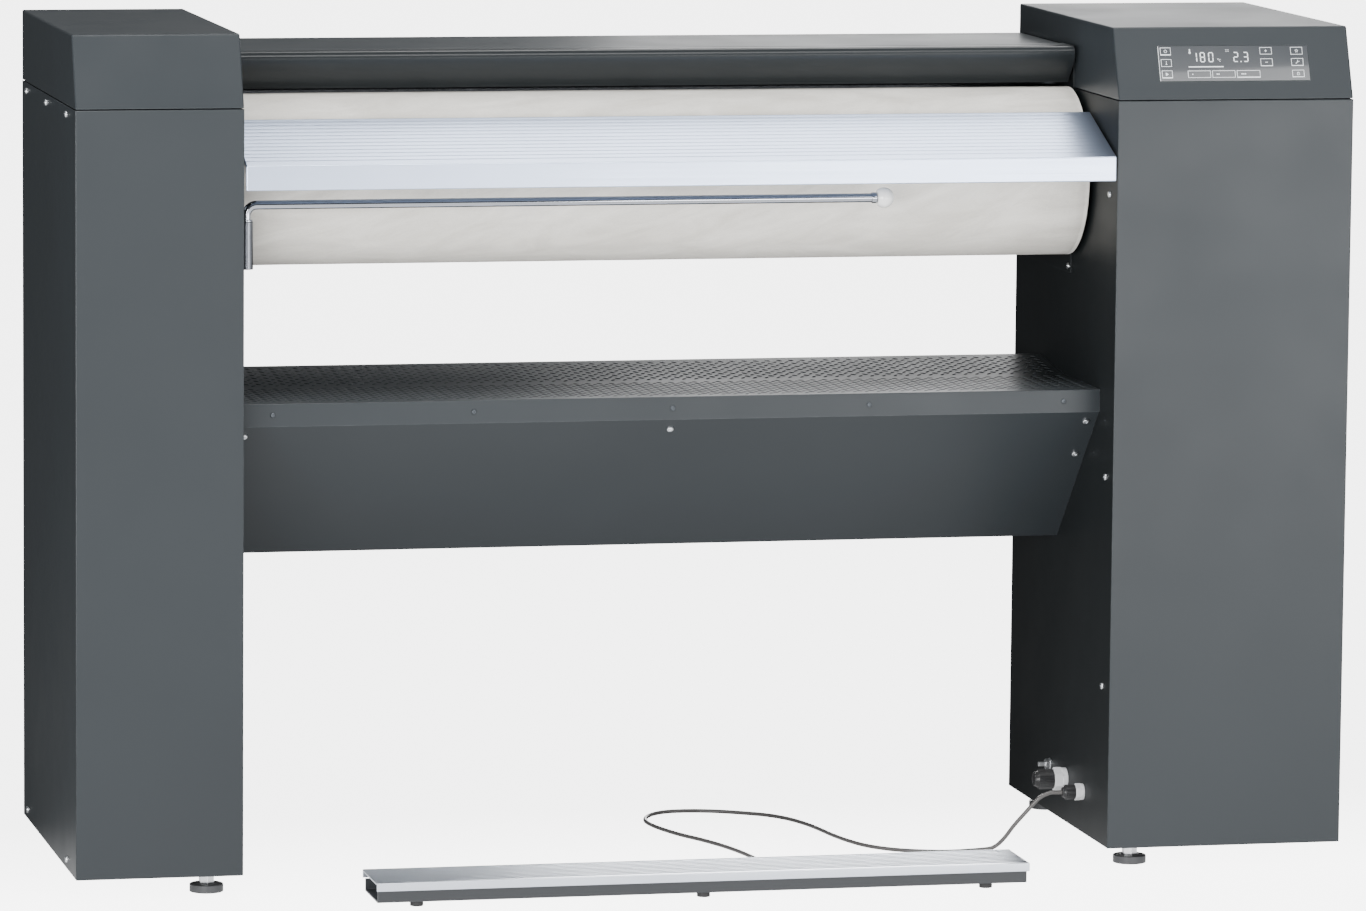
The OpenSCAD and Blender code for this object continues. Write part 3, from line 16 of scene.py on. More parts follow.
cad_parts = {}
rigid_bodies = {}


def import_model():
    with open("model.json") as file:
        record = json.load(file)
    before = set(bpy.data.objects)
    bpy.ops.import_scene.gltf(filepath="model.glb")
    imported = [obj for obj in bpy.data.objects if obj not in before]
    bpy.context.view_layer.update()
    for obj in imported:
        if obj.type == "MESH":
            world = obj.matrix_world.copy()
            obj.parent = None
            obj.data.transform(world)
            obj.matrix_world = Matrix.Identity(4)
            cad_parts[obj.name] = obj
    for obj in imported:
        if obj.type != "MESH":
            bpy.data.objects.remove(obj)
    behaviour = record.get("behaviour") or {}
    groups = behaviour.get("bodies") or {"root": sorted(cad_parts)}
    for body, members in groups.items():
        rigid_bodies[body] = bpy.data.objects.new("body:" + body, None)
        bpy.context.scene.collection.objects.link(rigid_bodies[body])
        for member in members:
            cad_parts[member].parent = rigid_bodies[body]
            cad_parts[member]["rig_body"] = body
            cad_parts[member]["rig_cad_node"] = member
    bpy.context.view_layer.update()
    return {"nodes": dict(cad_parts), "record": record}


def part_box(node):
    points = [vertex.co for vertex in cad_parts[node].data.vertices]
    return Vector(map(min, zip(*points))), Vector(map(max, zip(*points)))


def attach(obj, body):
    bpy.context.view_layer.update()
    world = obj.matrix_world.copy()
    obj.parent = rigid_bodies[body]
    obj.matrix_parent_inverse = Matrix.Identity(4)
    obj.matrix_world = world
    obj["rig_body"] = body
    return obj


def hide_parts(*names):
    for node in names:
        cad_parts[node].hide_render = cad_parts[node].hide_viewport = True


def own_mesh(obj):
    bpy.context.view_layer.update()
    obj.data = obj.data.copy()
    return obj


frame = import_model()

nodes = frame["nodes"]
SLOT_OF = {row["node"]: row["material_slot"] for row in frame["record"]["subparts"]}
MM = 0.001
MERGE, FLAT = 0.001 * MM, math.radians(1)
print("CAD nodes:", len(nodes))

# %% [markdown]
# ## Camera
# The photograph was taken from far away with a long lens, a little above the machine and to its
# left. The lens is written as the distance to the picture plane in pixels of the photograph, and
# the camera's axes are built from its turn, its tilt and a small roll.

# %% Make the camera
PHOTO_WIDTH_PX = 1366
LENS_PX = 7616.7
EYE = Vector((-2.0405, -9.0837, 1.6803))
TURN, TILT, ROLL = (math.radians(a) for a in (12.60, 7.23, 0.506))

ahead = Vector((math.sin(TURN) * math.cos(TILT), math.cos(TURN) * math.cos(TILT), -math.sin(TILT)))
level = Vector((math.cos(TURN), -math.sin(TURN), 0))
upward = level.cross(ahead)
right_axis = level * math.cos(ROLL) + upward * math.sin(ROLL)
up_axis = upward * math.cos(ROLL) - level * math.sin(ROLL)

bpy.ops.object.camera_add(location=EYE)
camera = bpy.context.object
camera.rotation_euler = Matrix((right_axis, up_axis, -ahead)).transposed().to_euler()
camera.data.lens = LENS_PX / PHOTO_WIDTH_PX * camera.data.sensor_width
camera.data.clip_end = 200
bpy.context.scene.camera = camera
print(f"lens {camera.data.lens:.1f} mm")

# %% [markdown]
# ## The cable to the foot bar
# The foot bar lies on the floor on a thin sheathed cable. It leaves the small gland straight, falls
# to the floor, runs in a loop behind the bar and enters the bar's channel. The route is a list of
# points from the CAD model, and a smooth curve is passed through them, so nothing is simulated.

# %% Lay the cable
CABLE_R = 2.5 * MM
CABLE_ROUTE_MM = [
    (463, -62.5, 76), (455.5, -62.5, 76), (448, -62.5, 76), (436, -62, 71), (428, -60, 63),
    (419, -57, 52), (405, -51, 34), (394, -43, 16), (383, -38, 5), (370, -38, 2.5), (350, -43, 2.5),
    (320, -46, 2.5), (290, -38, 2.5), (258, -20, 2.5), (233, 10, 2.5), (218, 48, 2.5), (208, 92, 2.5),
    (202, 132, 2.5), (194, 174, 2.5), (180, 216, 2.5), (160, 247, 2.5), (130, 270, 2.5),
    (97, 288, 2.5), (62, 296, 2.5), (32, 291, 2.5), (10, 270, 2.5), (-2, 238, 2.5), (-2, 206, 2.5),
    (6, 168, 2.5), (20, 126, 2.5), (39, 84, 2.5), (56, 36, 2.5), (68, -14, 2.5), (76, -70, 2.5),
    (81, -124, 2.5), (82, -160, 4), (82, -182, 11), (82, -192, 11), (82, -202, 11)]


def smooth_route(points, steps=4):
    """A Catmull-Rom curve through the points, that many steps between two of them."""
    padded = [points[0], *points, points[-1]]
    made = []
    for a, b, c, d in zip(padded, padded[1:], padded[2:], padded[3:]):
        for t in (k / steps for k in range(steps)):
            made.append((2 * b + (c - a) * t + (2 * a - 5 * b + 4 * c - d) * t * t
                         + (3 * b - a - 3 * c + d) * t ** 3) / 2)
    return [*made, points[-1]]


def tube_curve(name, points, radius, roundness=5):
    """A curve of one open spline through the points, as thick as a round bar."""
    curve = bpy.data.curves.new(name, "CURVE")
    curve.dimensions = "3D"
    curve.bevel_depth = radius
    curve.bevel_resolution = roundness
    curve.use_fill_caps = True
    spline = curve.splines.new("POLY")
    spline.points.add(len(points) - 1)
    for knot, place in zip(spline.points, points):
        knot.co = (*place, 1)
    piece = bpy.data.objects.new(name, curve)
    bpy.context.scene.collection.objects.link(piece)
    return piece


route = smooth_route([Vector(p) * MM for p in CABLE_ROUTE_MM])
for place in route:
    place.z = max(place.z, CABLE_R)
cable = tube_curve("bar_cable", route, CABLE_R)
print(f"cable {sum((b - a).length for a, b in zip(route, route[1:])):.4f} m long")

# %% [markdown]
# ## Modelling helpers
# Each piece starts as a primitive of its real size at its real place. The place is then written
# into the mesh, so that object coordinates are the machine's own. Faces and edges are selected by
# a test on their place or normal, as one would click them by hand.


# %% Helpers that make simple bodies
def only(*objects):
    """Select these objects and no others."""
    bpy.ops.object.select_all(action="DESELECT")
    for o in objects:
        o.select_set(True)
    bpy.context.view_layer.objects.active = objects[0]


def settle(name):
    """Name the new primitive, and write its place, turn and size into its mesh."""
    piece = bpy.context.object
    piece.name = piece.data.name = name
    only(piece)
    bpy.ops.object.transform_apply(location=True, rotation=True, scale=True)
    return piece


def slab(name, low, high):
    """A block between two corners."""
    low, high = Vector(low), Vector(high)
    bpy.ops.mesh.primitive_cube_add(size=1, location=(low + high) / 2)
    bpy.context.object.scale = high - low
    return settle(name)


def drum(name, x, y, z, radius, sides=64):
    """A closed cylinder along an axis of the machine, the one that a pair of values is given for."""
    start, end = (Vector([c[k] if isinstance(c, tuple) else c for c in (x, y, z)]) for k in (0, 1))
    axis = end - start
    bpy.ops.mesh.primitive_cylinder_add(
        vertices=sides, radius=radius, depth=axis.length, location=(start + end) / 2,
        rotation=axis.to_track_quat("Z", "Y").to_euler())
    return settle(name)


def as_mesh(curve):
    """Turn a curve into a mesh."""
    only(curve)
    bpy.ops.object.convert(target="MESH")
    return bpy.context.object


# %% Helpers for selecting and editing
def edit(piece):
    only(piece)
    bpy.ops.object.mode_set(mode="EDIT")


def leave():
    bpy.ops.object.mode_set(mode="OBJECT")


def pick(piece, kind, test):
    """In edit mode, select the faces, edges or vertices that pass a test, and no others."""
    bpy.ops.mesh.select_mode(type=kind)
    bpy.ops.mesh.select_all(action="DESELECT")
    mesh = bmesh.from_edit_mesh(piece.data)
    parts = {"FACE": mesh.faces, "EDGE": mesh.edges, "VERT": mesh.verts}[kind]
    for part in parts:
        if test(part):
            part.select_set(True)
    mesh.select_flush_mode()
    bmesh.update_edit_mesh(piece.data)


def pick_all():
    bpy.ops.mesh.select_all(action="SELECT")


def looks(x=0, y=0, z=0, share=0.99):
    """A test for faces that look along a direction."""
    return lambda face: face.normal.dot(Vector((x, y, z))) > share


def within(test):
    """A test for edges with both ends where a test of a place holds."""
    return lambda edge: all(test(v.co) for v in edge.verts)


def sharp(over=30, longer=0.0):
    """A test for edges that turn by more than an angle and are longer than a length."""
    return lambda edge: (len(edge.link_faces) == 2 and edge.calc_length() > longer
                         and edge.calc_face_angle() > math.radians(over))


def pull(x=0.0, y=0.0, z=0.0):
    """Extrude what is selected and move it by a step."""
    bpy.ops.mesh.extrude_region_move(TRANSFORM_OT_translate={"value": (x, y, z)})


def widen(centre, x=1.0, y=1.0, z=1.0):
    """Scale what is selected about a point."""
    bpy.ops.transform.resize(value=(x, y, z), center_override=centre)


def bevel(width, steps=3):
    """Round the selected edges."""
    bpy.ops.mesh.bevel(offset=width, segments=steps, affect="EDGES")


def sink(piece, test, rim, **step):
    """Draw the faces that pass a test in by a rim's width, and pull what is left by a step."""
    pick(piece, "FACE", test)
    bpy.ops.mesh.inset(thickness=rim)
    pull(**step)


def bore(piece, axis, wall):
    """Turn a closed cylinder along X, Y or Z (0, 1 or 2) into a tube with a wall of some thickness."""
    pick(piece, "FACE", lambda f: abs(f.normal[axis]) > 0.9)
    bpy.ops.mesh.inset(thickness=wall)
    bpy.ops.mesh.delete(type="FACE")
    pick(piece, "EDGE", lambda e: len(e.link_faces) == 1)
    bpy.ops.mesh.bridge_edge_loops()
    pick_all()
    bpy.ops.mesh.normals_make_consistent(inside=False)


def modify(piece, kind, **settings):
    """Add a modifier and apply it at once."""
    only(piece)
    modifier = piece.modifiers.new(kind.title(), kind)
    for key, value in settings.items():
        setattr(modifier, key, value)
    bpy.ops.object.modifier_apply(modifier=modifier.name)


def round_edges(piece, radius, steps=3, over=30):
    modify(piece, "BEVEL", width=radius, segments=steps, limit_method="ANGLE",
           angle_limit=math.radians(over), miter_outer="MITER_ARC")


def join(name, pieces):
    only(*pieces)
    if len(pieces) > 1:
        bpy.ops.object.join()
    piece = bpy.context.object
    piece.name = piece.data.name = name
    return piece


def duplicate(model):
    """A copy of an object with a mesh of its own."""
    copy = model.copy()
    copy.data = model.data.copy()
    bpy.context.scene.collection.objects.link(copy)
    return copy


def copies(name, model, places):
    """One mesh that holds a copy of the model at each place, a matrix. The model goes."""
    made = [duplicate(model) for _ in places]
    for copy, place in zip(made, places):
        copy.data.transform(place)
    bpy.data.objects.remove(model)
    return join(name, made)


def facing(place, normal):
    """A matrix that carries +Z to a normal and the origin to a place."""
    return Matrix.Translation(place) @ Vector(normal).to_track_quat("Z", "Y").to_matrix().to_4x4()


# %% [markdown]
# A finished piece gets smooth shading up to an angle. Its normals are then weighted by the faces'
# areas, so that a large flat panel stays flat right up to its rounded edge. It rides on the body
# of the CAD node that it stands for, and that node is hidden.


# %% Helpers that finish a piece
look = {}


def paint(piece, finish):
    """Give a piece one of the materials, which are kept by name in look."""
    piece.data.materials.clear()
    piece.data.materials.append(look[finish])


def dress(piece, *stands_for, finish=None, body=None, slot=None, smooth=35, weighted=True):
    """Shade the piece and let it stand for CAD nodes. Unless its parts are painted already, it gets
    a finish by name or else the one of its slot."""
    if piece.type == "MESH":
        only(piece)
        bpy.ops.object.shade_smooth_by_angle(angle=math.radians(smooth))
        if weighted:
            modify(piece, "WEIGHTED_NORMAL", keep_sharp=True)
    body = body or nodes[stands_for[0]]["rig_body"]
    slot = slot or SLOT_OF[stands_for[0]]
    if not piece.data.materials:
        paint(piece, finish or slot)
    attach(piece, body)
    if stands_for:
        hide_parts(*stands_for)
    return piece


def eased(node, name, radius, longer, over=40):
    """A copy of a CAD node, its doubles merged and its long sharp edges rounded."""
    piece = duplicate(nodes[node])
    piece.parent = None
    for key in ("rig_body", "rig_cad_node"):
        del piece[key]
    piece.name = piece.data.name = name
    edit(piece)
    pick_all()
    bpy.ops.mesh.remove_doubles(threshold=MERGE)
    bpy.ops.mesh.dissolve_limited(angle_limit=FLAT)
    pick(piece, "EDGE", sharp(over, longer))
    bevel(radius, 2)
    leave()
    return piece


def folded_sheet(name, path, x0, x1, thickness, fold=0.0, over=20):
    """A sheet that runs along X, folded so that its outer face follows points in Y and Z."""
    a, b = Vector(path[0]), Vector(path[1])
    run = b - a
    middle = ((x0 + x1) / 2, (a.x + b.x) / 2, (a.y + b.y) / 2)
    bpy.ops.mesh.primitive_plane_add(size=1, location=middle, rotation=(math.atan2(run.y, run.x), 0, 0))
    bpy.context.object.scale = (x1 - x0, run.length, 1)
    piece = settle(name)
    edit(piece)
    for here, there in zip(path[1:], path[2:]):
        at = Vector(here)
        pick(piece, "EDGE", within(lambda p: (p.yz - at).length < 0.02 * MM))
        pull(y=there[0] - here[0], z=there[1] - here[1])
    if fold:
        pick(piece, "EDGE", sharp(over))
        bevel(fold)
    leave()
    modify(piece, "SOLIDIFY", thickness=thickness, offset=1, use_even_offset=True)
    return piece


def grooved(start, end, first, last, count, width, depth):
    """Points from start to end with shallow grooves between two shares of the way."""
    start, end = Vector(start), Vector(end)
    run = end - start
    along = run.normalized()
    inward = Vector((-along.y, along.x))
    made = []
    for k in range(count):
        mid = start + run * (first + (last - first) * k / (count - 1))
        for shift, share in ((-0.5, 0), (-0.25, 1), (0.25, 1), (0.5, 0)):
            made.append(tuple(mid + along * width * shift + inward * depth * share))
    return [tuple(start), *made, tuple(end)]


# %% [markdown]
# ## Finishes
# Effects that several finishes share are node groups: the fine pitting of powder coat, drawn metal,
# fibres, a painted edge highlight and dust. Each material places them with its own numbers.
# Everything reads object coordinates in metres, so a scale of 1000 makes grains of a millimetre.


# %% Helpers for node trees
def add(tree, kind, values=None, **settings):
    """Add a shader node, set its inputs to numbers or link them to other nodes' outputs."""
    node = tree.nodes.new("ShaderNode" + kind)
    for key, value in settings.items():
        setattr(node, key, value)
    for key, value in (values or {}).items():
        if isinstance(value, bpy.types.NodeSocket):
            tree.links.new(value, node.inputs[key])
        else:
            node.inputs[key].default_value = value
    return node


def calc(tree, operation, *values):
    """What a Math node makes of some values."""
    return add(tree, "Math", dict(enumerate(values)), operation=operation).outputs[0]


def noise(tree, scale, detail=2, rough=0.5, stretch=None, lean=0, swirl=0.0):
    """A noise texture in object coordinates, turned about Y and drawn out along the axes."""
    place = add(tree, "TexCoord").outputs["Object"]
    if lean:
        turn = (0, math.radians(lean), 0)
        place = add(tree, "Mapping", {"Vector": place, "Rotation": turn}).outputs[0]
    if stretch:
        place = add(tree, "Mapping", {"Vector": place, "Scale": stretch}).outputs[0]
    values = {"Vector": place, "Scale": scale, "Detail": detail, "Roughness": rough, "Distortion": swirl}
    return add(tree, "TexNoise", values).outputs["Fac"]


def spread(tree, value, low, high):
    """Map 0.3 to 0.7, where most noise lies, to a range."""
    return add(tree, "MapRange", {"Value": value, "From Min": 0.3, "From Max": 0.7,
                                  "To Min": low, "To Max": high}).outputs[0]


def tinted(tree, colour, amount):
    """A colour made lighter or darker by a factor."""
    grey = add(tree, "CombineXYZ", {0: amount, 1: amount, 2: amount}).outputs[0]
    return add(tree, "VectorMath", {0: colour, 1: grey}, operation="MULTIPLY").outputs[0]


def bumped(tree, height, strength, distance):
    """The normal of a surface with small hills."""
    values = {"Strength": strength, "Distance": distance, "Height": height}
    return add(tree, "Bump", values).outputs[0]


def blended(tree, factor, under, over):
    """A mix of two colours."""
    return add(tree, "Mix", {0: factor, 6: under, 7: over}, data_type="RGBA").outputs[2]


# %% Helpers for node groups
SURFACE = {"Colour": "Color", "Roughness": "Float", "Normal": "Vector"}
group = {}


def new_group(name, inputs, outputs):
    """An empty node group with named sockets, kept in group, and the outputs of its input node."""
    tree = group[name] = bpy.data.node_groups.new(name, "ShaderNodeTree")
    for label, value in inputs.items():
        kind = "NodeSocketColor" if isinstance(value, tuple) else "NodeSocketFloat"
        socket = tree.interface.new_socket(label, in_out="INPUT", socket_type=kind)
        socket.default_value = value
    for label, kind in outputs.items():
        tree.interface.new_socket(label, in_out="OUTPUT", socket_type="NodeSocket" + kind)
    return tree, tree.nodes.new("NodeGroupInput").outputs


def give(tree, **results):
    """Link the results to the group's own outputs."""
    out = tree.nodes.new("NodeGroupOutput").inputs
    for label, result in results.items():
        tree.links.new(result, out[label])


# %% Group: powder coat, a baked paint with a fine orange peel
tree, given = new_group(
    "powder coat", {"Colour": (0.1, 0.1, 0.1, 1), "Roughness": 0.4, "Peel": 0.15, "Peel Scale": 700.0},
    SURFACE)
peel = noise(tree, given["Peel Scale"], detail=1)
cloud = spread(tree, noise(tree, 2.5, detail=3), 0.94, 1.06)
give(tree, Colour=tinted(tree, given["Colour"], cloud),
     Roughness=calc(tree, "ADD", given["Roughness"], spread(tree, noise(tree, 9), -0.03, 0.03)),
     Normal=bumped(tree, peel, given["Peel"], 0.0003))

# %% Group: drawn metal, with fine lines along one direction
tree, given = new_group(
    "drawn metal", {"Colour": (0.8, 0.8, 0.8, 1), "Roughness": 0.3, "Line Depth": 0.1}, SURFACE)
lines = noise(tree, 1, detail=4, rough=0.6, stretch=(4, 1500, 1500))
patches = spread(tree, noise(tree, 6), 0.97, 1.02)
shade = calc(tree, "MULTIPLY", spread(tree, lines, 0.98, 1.015), patches)
give(tree, Colour=tinted(tree, given["Colour"], shade),
     Roughness=calc(tree, "ADD", given["Roughness"], spread(tree, lines, -0.04, 0.04)),
     Normal=bumped(tree, lines, given["Line Depth"], 0.0002))

# %% Group: fibres, for cloth and felt
tree, given = new_group(
    "fibres", {"Light": (0.8, 0.8, 0.8, 1), "Dark": (0.6, 0.6, 0.6, 1), "Nap": 0.3},
    {"Colour": "Color", "Normal": "Vector"})
clouds = noise(tree, 10, detail=6, rough=0.62, stretch=(0.8, 3.0, 3.0), lean=16, swirl=0.8)
threads = noise(tree, 1, detail=3, rough=0.7, stretch=(260, 900, 900))
cross = noise(tree, 1, rough=0.6, stretch=(1400, 300, 300))
light = calc(tree, "ADD", spread(tree, clouds, 0, 0.75), spread(tree, threads, 0, 0.25))
height = calc(tree, "ADD", calc(tree, "ADD", threads, cross), spread(tree, clouds, 0, 1.2))
give(tree, Colour=blended(tree, light, given["Dark"], given["Light"]),
     Normal=bumped(tree, height, given["Nap"], 0.0006))

# %% Group: dust, which settles on faces that look up
tree, given = new_group("dust", {"Amount": 0.2, "Patch Scale": 18.0}, {"Mask": "Float"})
up = add(tree, "SeparateXYZ", {0: add(tree, "NewGeometry").outputs["Normal"]}).outputs["Z"]
lying = add(tree, "MapRange", {"Value": up, "From Min": 0.3, "From Max": 1.0}).outputs[0]
patchy = spread(tree, noise(tree, given["Patch Scale"], detail=5, rough=0.7), 0, 1)
give(tree, Mask=calc(tree, "MULTIPLY", calc(tree, "MULTIPLY", lying, patchy), given["Amount"]))

# %% Group: painted edge highlight, a lighter colour along corners where the rounded edges catch the light
tree, given = new_group("painted edge highlight", {"Amount": 0.3, "Width": 0.001}, {"Mask": "Float"})
rounded = add(tree, "Bevel", {"Radius": given["Width"]}, samples=4).outputs[0]
straight = add(tree, "NewGeometry").outputs["Normal"]
close = add(tree, "VectorMath", {0: rounded, 1: straight}, operation="DOT_PRODUCT").outputs["Value"]
edge = add(tree, "MapRange", {"Value": close, "From Min": 0.99, "From Max": 0.86}).outputs[0]
broken = calc(tree, "MULTIPLY", edge, spread(tree, noise(tree, 60, detail=4), 0.2, 1))
give(tree, Mask=calc(tree, "MULTIPLY", broken, given["Amount"]))


# %% [markdown]
# The materials follow, most of them named after the material slot of the CAD nodes that wear them.
# Constants such as the coat or the sheen are set on the shader itself, and only what changes over
# the surface comes from a group.


# %% Helpers for materials
def new_material(name, **constants):
    """A material kept in look, with constants of its shader."""
    material = look[name] = bpy.data.materials.new(name)
    material.use_nodes = True
    shader = material.node_tree.nodes["Principled BSDF"]
    for key, value in constants.items():
        shader.inputs[key.replace("_", " ")].default_value = value
    return material.node_tree, shader


def place_group(tree, name, **values):
    node = tree.nodes.new("ShaderNodeGroup")
    node.node_tree = group[name]
    for key, value in values.items():
        node.inputs[key.replace("_", " ")].default_value = value
    return node.outputs


def feed(tree, shader, name, **values):
    """Place a group and link its outputs to the shader inputs that they are for."""
    outputs = place_group(tree, name, **values)
    for label, socket in (("Colour", "Base Color"), ("Roughness", "Roughness"), ("Normal", "Normal")):
        if label in outputs:
            tree.links.new(outputs[label], shader.inputs[socket])


def cover_with(tree, shader, mask, colour):
    """Lay a colour over the base colour, by a mask."""
    base = shader.inputs["Base Color"]
    tree.links.new(blended(tree, mask, base.links[0].from_socket, colour), base)


def powder_coat(name, colour, roughness, peel=0.12, dust=0.05, edge_highlight=0.15, **constants):
    tree, shader = new_material(name, **constants)
    feed(tree, shader, "powder coat", Colour=(*colour, 1), Roughness=roughness, Peel=peel)
    # A lighter blue-grey along the corners is a painted highlight of the rounded edges catching the
    # light.
    highlit_edges = place_group(tree, "painted edge highlight", Amount=edge_highlight, Width=0.0012)["Mask"]
    cover_with(tree, shader, highlit_edges, (0.42, 0.45, 0.47, 1))
    dusty = place_group(tree, "dust", Amount=dust)["Mask"]
    cover_with(tree, shader, dusty, (0.55, 0.54, 0.52, 1))


def drawn_metal(name, colour, roughness, depth):
    tree, shader = new_material(name, Metallic=1.0)
    feed(tree, shader, "drawn metal", Colour=(*colour, 1), Roughness=roughness, Line_Depth=depth)


def fibre_cloth(name, light, dark, nap, sheen):
    tree, shader = new_material(name, Roughness=0.9, Sheen_Weight=sheen)
    feed(tree, shader, "fibres", Light=(*light, 1), Dark=(*dark, 1), Nap=nap)


# %% Make the materials
powder_coat("cabinet_paint", (0.026, 0.031, 0.035), 0.36, dust=0.03, Specular_IOR_Level=0.28)
# The guard's paint is the cabinet paint made darker: the shade on its curved nose is painted into it.
powder_coat("shaded_guard_paint", (0.016, 0.019, 0.021), 0.32, dust=0.0, Specular_IOR_Level=0.26)
# The walls' paint is the cabinet paint made far darker: the shade between the cabinets is painted into
# it.
powder_coat("wall_paint", (0.009, 0.011, 0.012), 0.48, dust=0.0, Specular_IOR_Level=0.2)
powder_coat("frame_steel", (0.05, 0.05, 0.05), 0.5)
powder_coat("motor_paint", (0.07, 0.09, 0.11), 0.45, peel=0.3)
powder_coat("channel_paint", (0.028, 0.031, 0.035), 0.4)
powder_coat("cast_iron", (0.07, 0.07, 0.07), 0.6, peel=0.8, Metallic=0.6)
powder_coat("black_plastic", (0.012, 0.012, 0.013), 0.35, peel=0.1, edge_highlight=0.1)
powder_coat("pale_plastic", (0.72, 0.73, 0.74), 0.35, peel=0.1, edge_highlight=0.0)
powder_coat("foot_plastic", (0.05, 0.052, 0.056), 0.45, peel=0.3)
powder_coat("knob_plastic", (0.97, 0.97, 0.96), 0.15, peel=0.0, dust=0.0, edge_highlight=0.0, Coat_Weight=1.0)
powder_coat("cable_sheath", (0.085, 0.080, 0.078), 0.35, peel=0.1, edge_highlight=0.0, dust=0.0)
powder_coat("circuit_board", (0.02, 0.14, 0.05), 0.35, peel=0.05)
for name in ("belt_rubber", "rubber_feet"):
    powder_coat(name, (0.02, 0.02, 0.021), 0.7, peel=0.6, edge_highlight=0.0)
for name, colour, roughness, depth in (
        ("board_aluminium", (0.66, 0.76, 0.96), 0.32, 0.02),
        ("bar_metal", (0.78, 0.83, 0.92), 0.32, 0.04),
        ("trough_aluminium", (0.75, 0.76, 0.78), 0.16, 0.05),
        ("machined_steel", (0.55, 0.55, 0.56), 0.30, 0.1),
        ("rod_chrome", (0.42, 0.44, 0.48), 0.07, 0.01),
        # The socket's metal is painted dark, standing in for the dark cabinet that its chrome mirrors.
        ("socket_steel", (0.17, 0.18, 0.20), 0.30, 0.0),
        ("screw_steel", (0.80, 0.82, 0.84), 0.30, 0.05),
        ("rivet_metal", (0.09, 0.10, 0.11), 0.50, 0.0),
        ("bronze", (0.55, 0.36, 0.16), 0.50, 0.1)):
    drawn_metal(name, colour, roughness, depth)
fibre_cloth("cloth", (0.97, 0.94, 0.87), (0.66, 0.63, 0.57), nap=0.35, sheen=0.15)
fibre_cloth("padding", (0.60, 0.56, 0.48), (0.45, 0.41, 0.34), nap=0.8, sheen=0.3)

PRINT = (0.75, 0.78, 0.80, 1)
# The print glows faintly in its own colour: painted brightness, as print gives no light.
tree, shader = new_material("print_with_painted_glow", Emission_Strength=0.35, Emission_Color=PRINT)
feed(tree, shader, "powder coat", Colour=PRINT, Roughness=0.5, Peel=0.0)
tree, shader = new_material("display_glass", Coat_Weight=1.0, Coat_Roughness=0.02)
feed(tree, shader, "powder coat", Colour=(0.055, 0.060, 0.066, 1), Roughness=0.08, Peel=0.0)

for name, node in nodes.items():
    paint(node, SLOT_OF[name])
print("materials:", len(look))

# %% [markdown]
# ## Cabinet lids
# A lid is a pressed box, open below, whose front leans back. A block is added at its size, its top
# front edge is pushed back, the corners are rounded, the bottom is deleted and Solidify gives the
# wall. In the right lid, four cuts across the slanted face mark out the window for the glass.

# %% Sizes of the lids and the display
LID_Z = 948 * MM
LID_LEAN = 34 * MM
SHEET = 1.5 * MM
FRONT_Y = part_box("left_front_panel")[0].y
LID_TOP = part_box("left_lid")[1].z
glass_low, glass_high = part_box("display_glass")
lid_angle = math.atan2(LID_LEAN, LID_TOP - LID_Z)
slant = Matrix.Translation((0, FRONT_Y, LID_Z)) @ Matrix.Rotation(-lid_angle, 4, "X")
GLASS_W, GLASS_H, GLASS_UP = 191 * MM, 45 * MM, 23 * MM
GLASS_PROUD = 0.5 * MM
GLASS_SEAM = 0.4 * MM
print(f"lid front leans back by {math.degrees(lid_angle):.1f} degrees")


# %% Model the lids
def lid_shell(name, node, window=None):
    """A lid, with a window between two values of x and two heights up the slant if they are given."""
    low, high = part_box(node)
    slanted = looks(y=-1, share=0.8)
    piece = slab(name, (low.x, low.y, LID_Z), (high.x, high.y, high.z))
    edit(piece)
    pick(piece, "EDGE", within(lambda p: p.y < low.y + MM and p.z > high.z - MM))
    bpy.ops.transform.translate(value=(0, LID_LEAN, 0))
    pick(piece, "EDGE", lambda e: any(v.co.z > LID_Z + MM for v in e.verts))
    bevel(2.2 * MM)
    if window:
        (xa, xb), (za, zb) = window
        up = slant.to_3x3() @ Vector((0, 0, 1))
        for place, normal in (((xa, 0, 0), (1, 0, 0)), ((xb, 0, 0), (1, 0, 0)),
                              (slant @ Vector((0, 0, za)), up), (slant @ Vector((0, 0, zb)), up)):
            pick(piece, "FACE", slanted)
            bpy.ops.mesh.bisect(plane_co=place, plane_no=normal)
        pick(piece, "FACE", lambda f: slanted(f) and xa < f.calc_center_median().x < xb
             and za < (slant.inverted() @ f.calc_center_median()).z < zb)
        bpy.ops.mesh.delete(type="FACE")
    pick(piece, "FACE", looks(z=-1))
    bpy.ops.mesh.delete(type="FACE")
    leave()
    modify(piece, "SOLIDIFY", thickness=SHEET, offset=-1, use_even_offset=True)
    return dress(piece, node, smooth=40)


left_lid = lid_shell("left_lid_shell", "left_lid")
window = ((glass_low.x - GLASS_SEAM, glass_high.x + GLASS_SEAM),
          (GLASS_UP - GLASS_SEAM, GLASS_UP + GLASS_H + GLASS_SEAM))
right_lid = lid_shell("right_lid_shell", "right_lid", window)
print("lid faces:", len(left_lid.data.polygons), len(right_lid.data.polygons))

# %% [markdown]
# ## Cabinet panels
# The panels of the cabinets are plain folded sheets with holes, exactly as the CAD model has them.
# A copy of each is cleaned up, and its long edges are rounded as a press brake and powder coat
# leave them, so that the corners catch the light as a thin line.

# %% Ease the panels' edges
PANEL_EDGES_MM = {"front_panel": 1.2, "outer_panel": 0.7, "inner_wall": 1.0, "rear_panel": 0.6}
for side in ("left", "right"):
    for part, radius in PANEL_EDGES_MM.items():
        node = f"{side}_{part}"
        piece = eased(node, f"{node}_sheet", radius * MM, longer=40 * MM)
        dress(piece, node)
        print(node, len(piece.data.polygons), "faces")

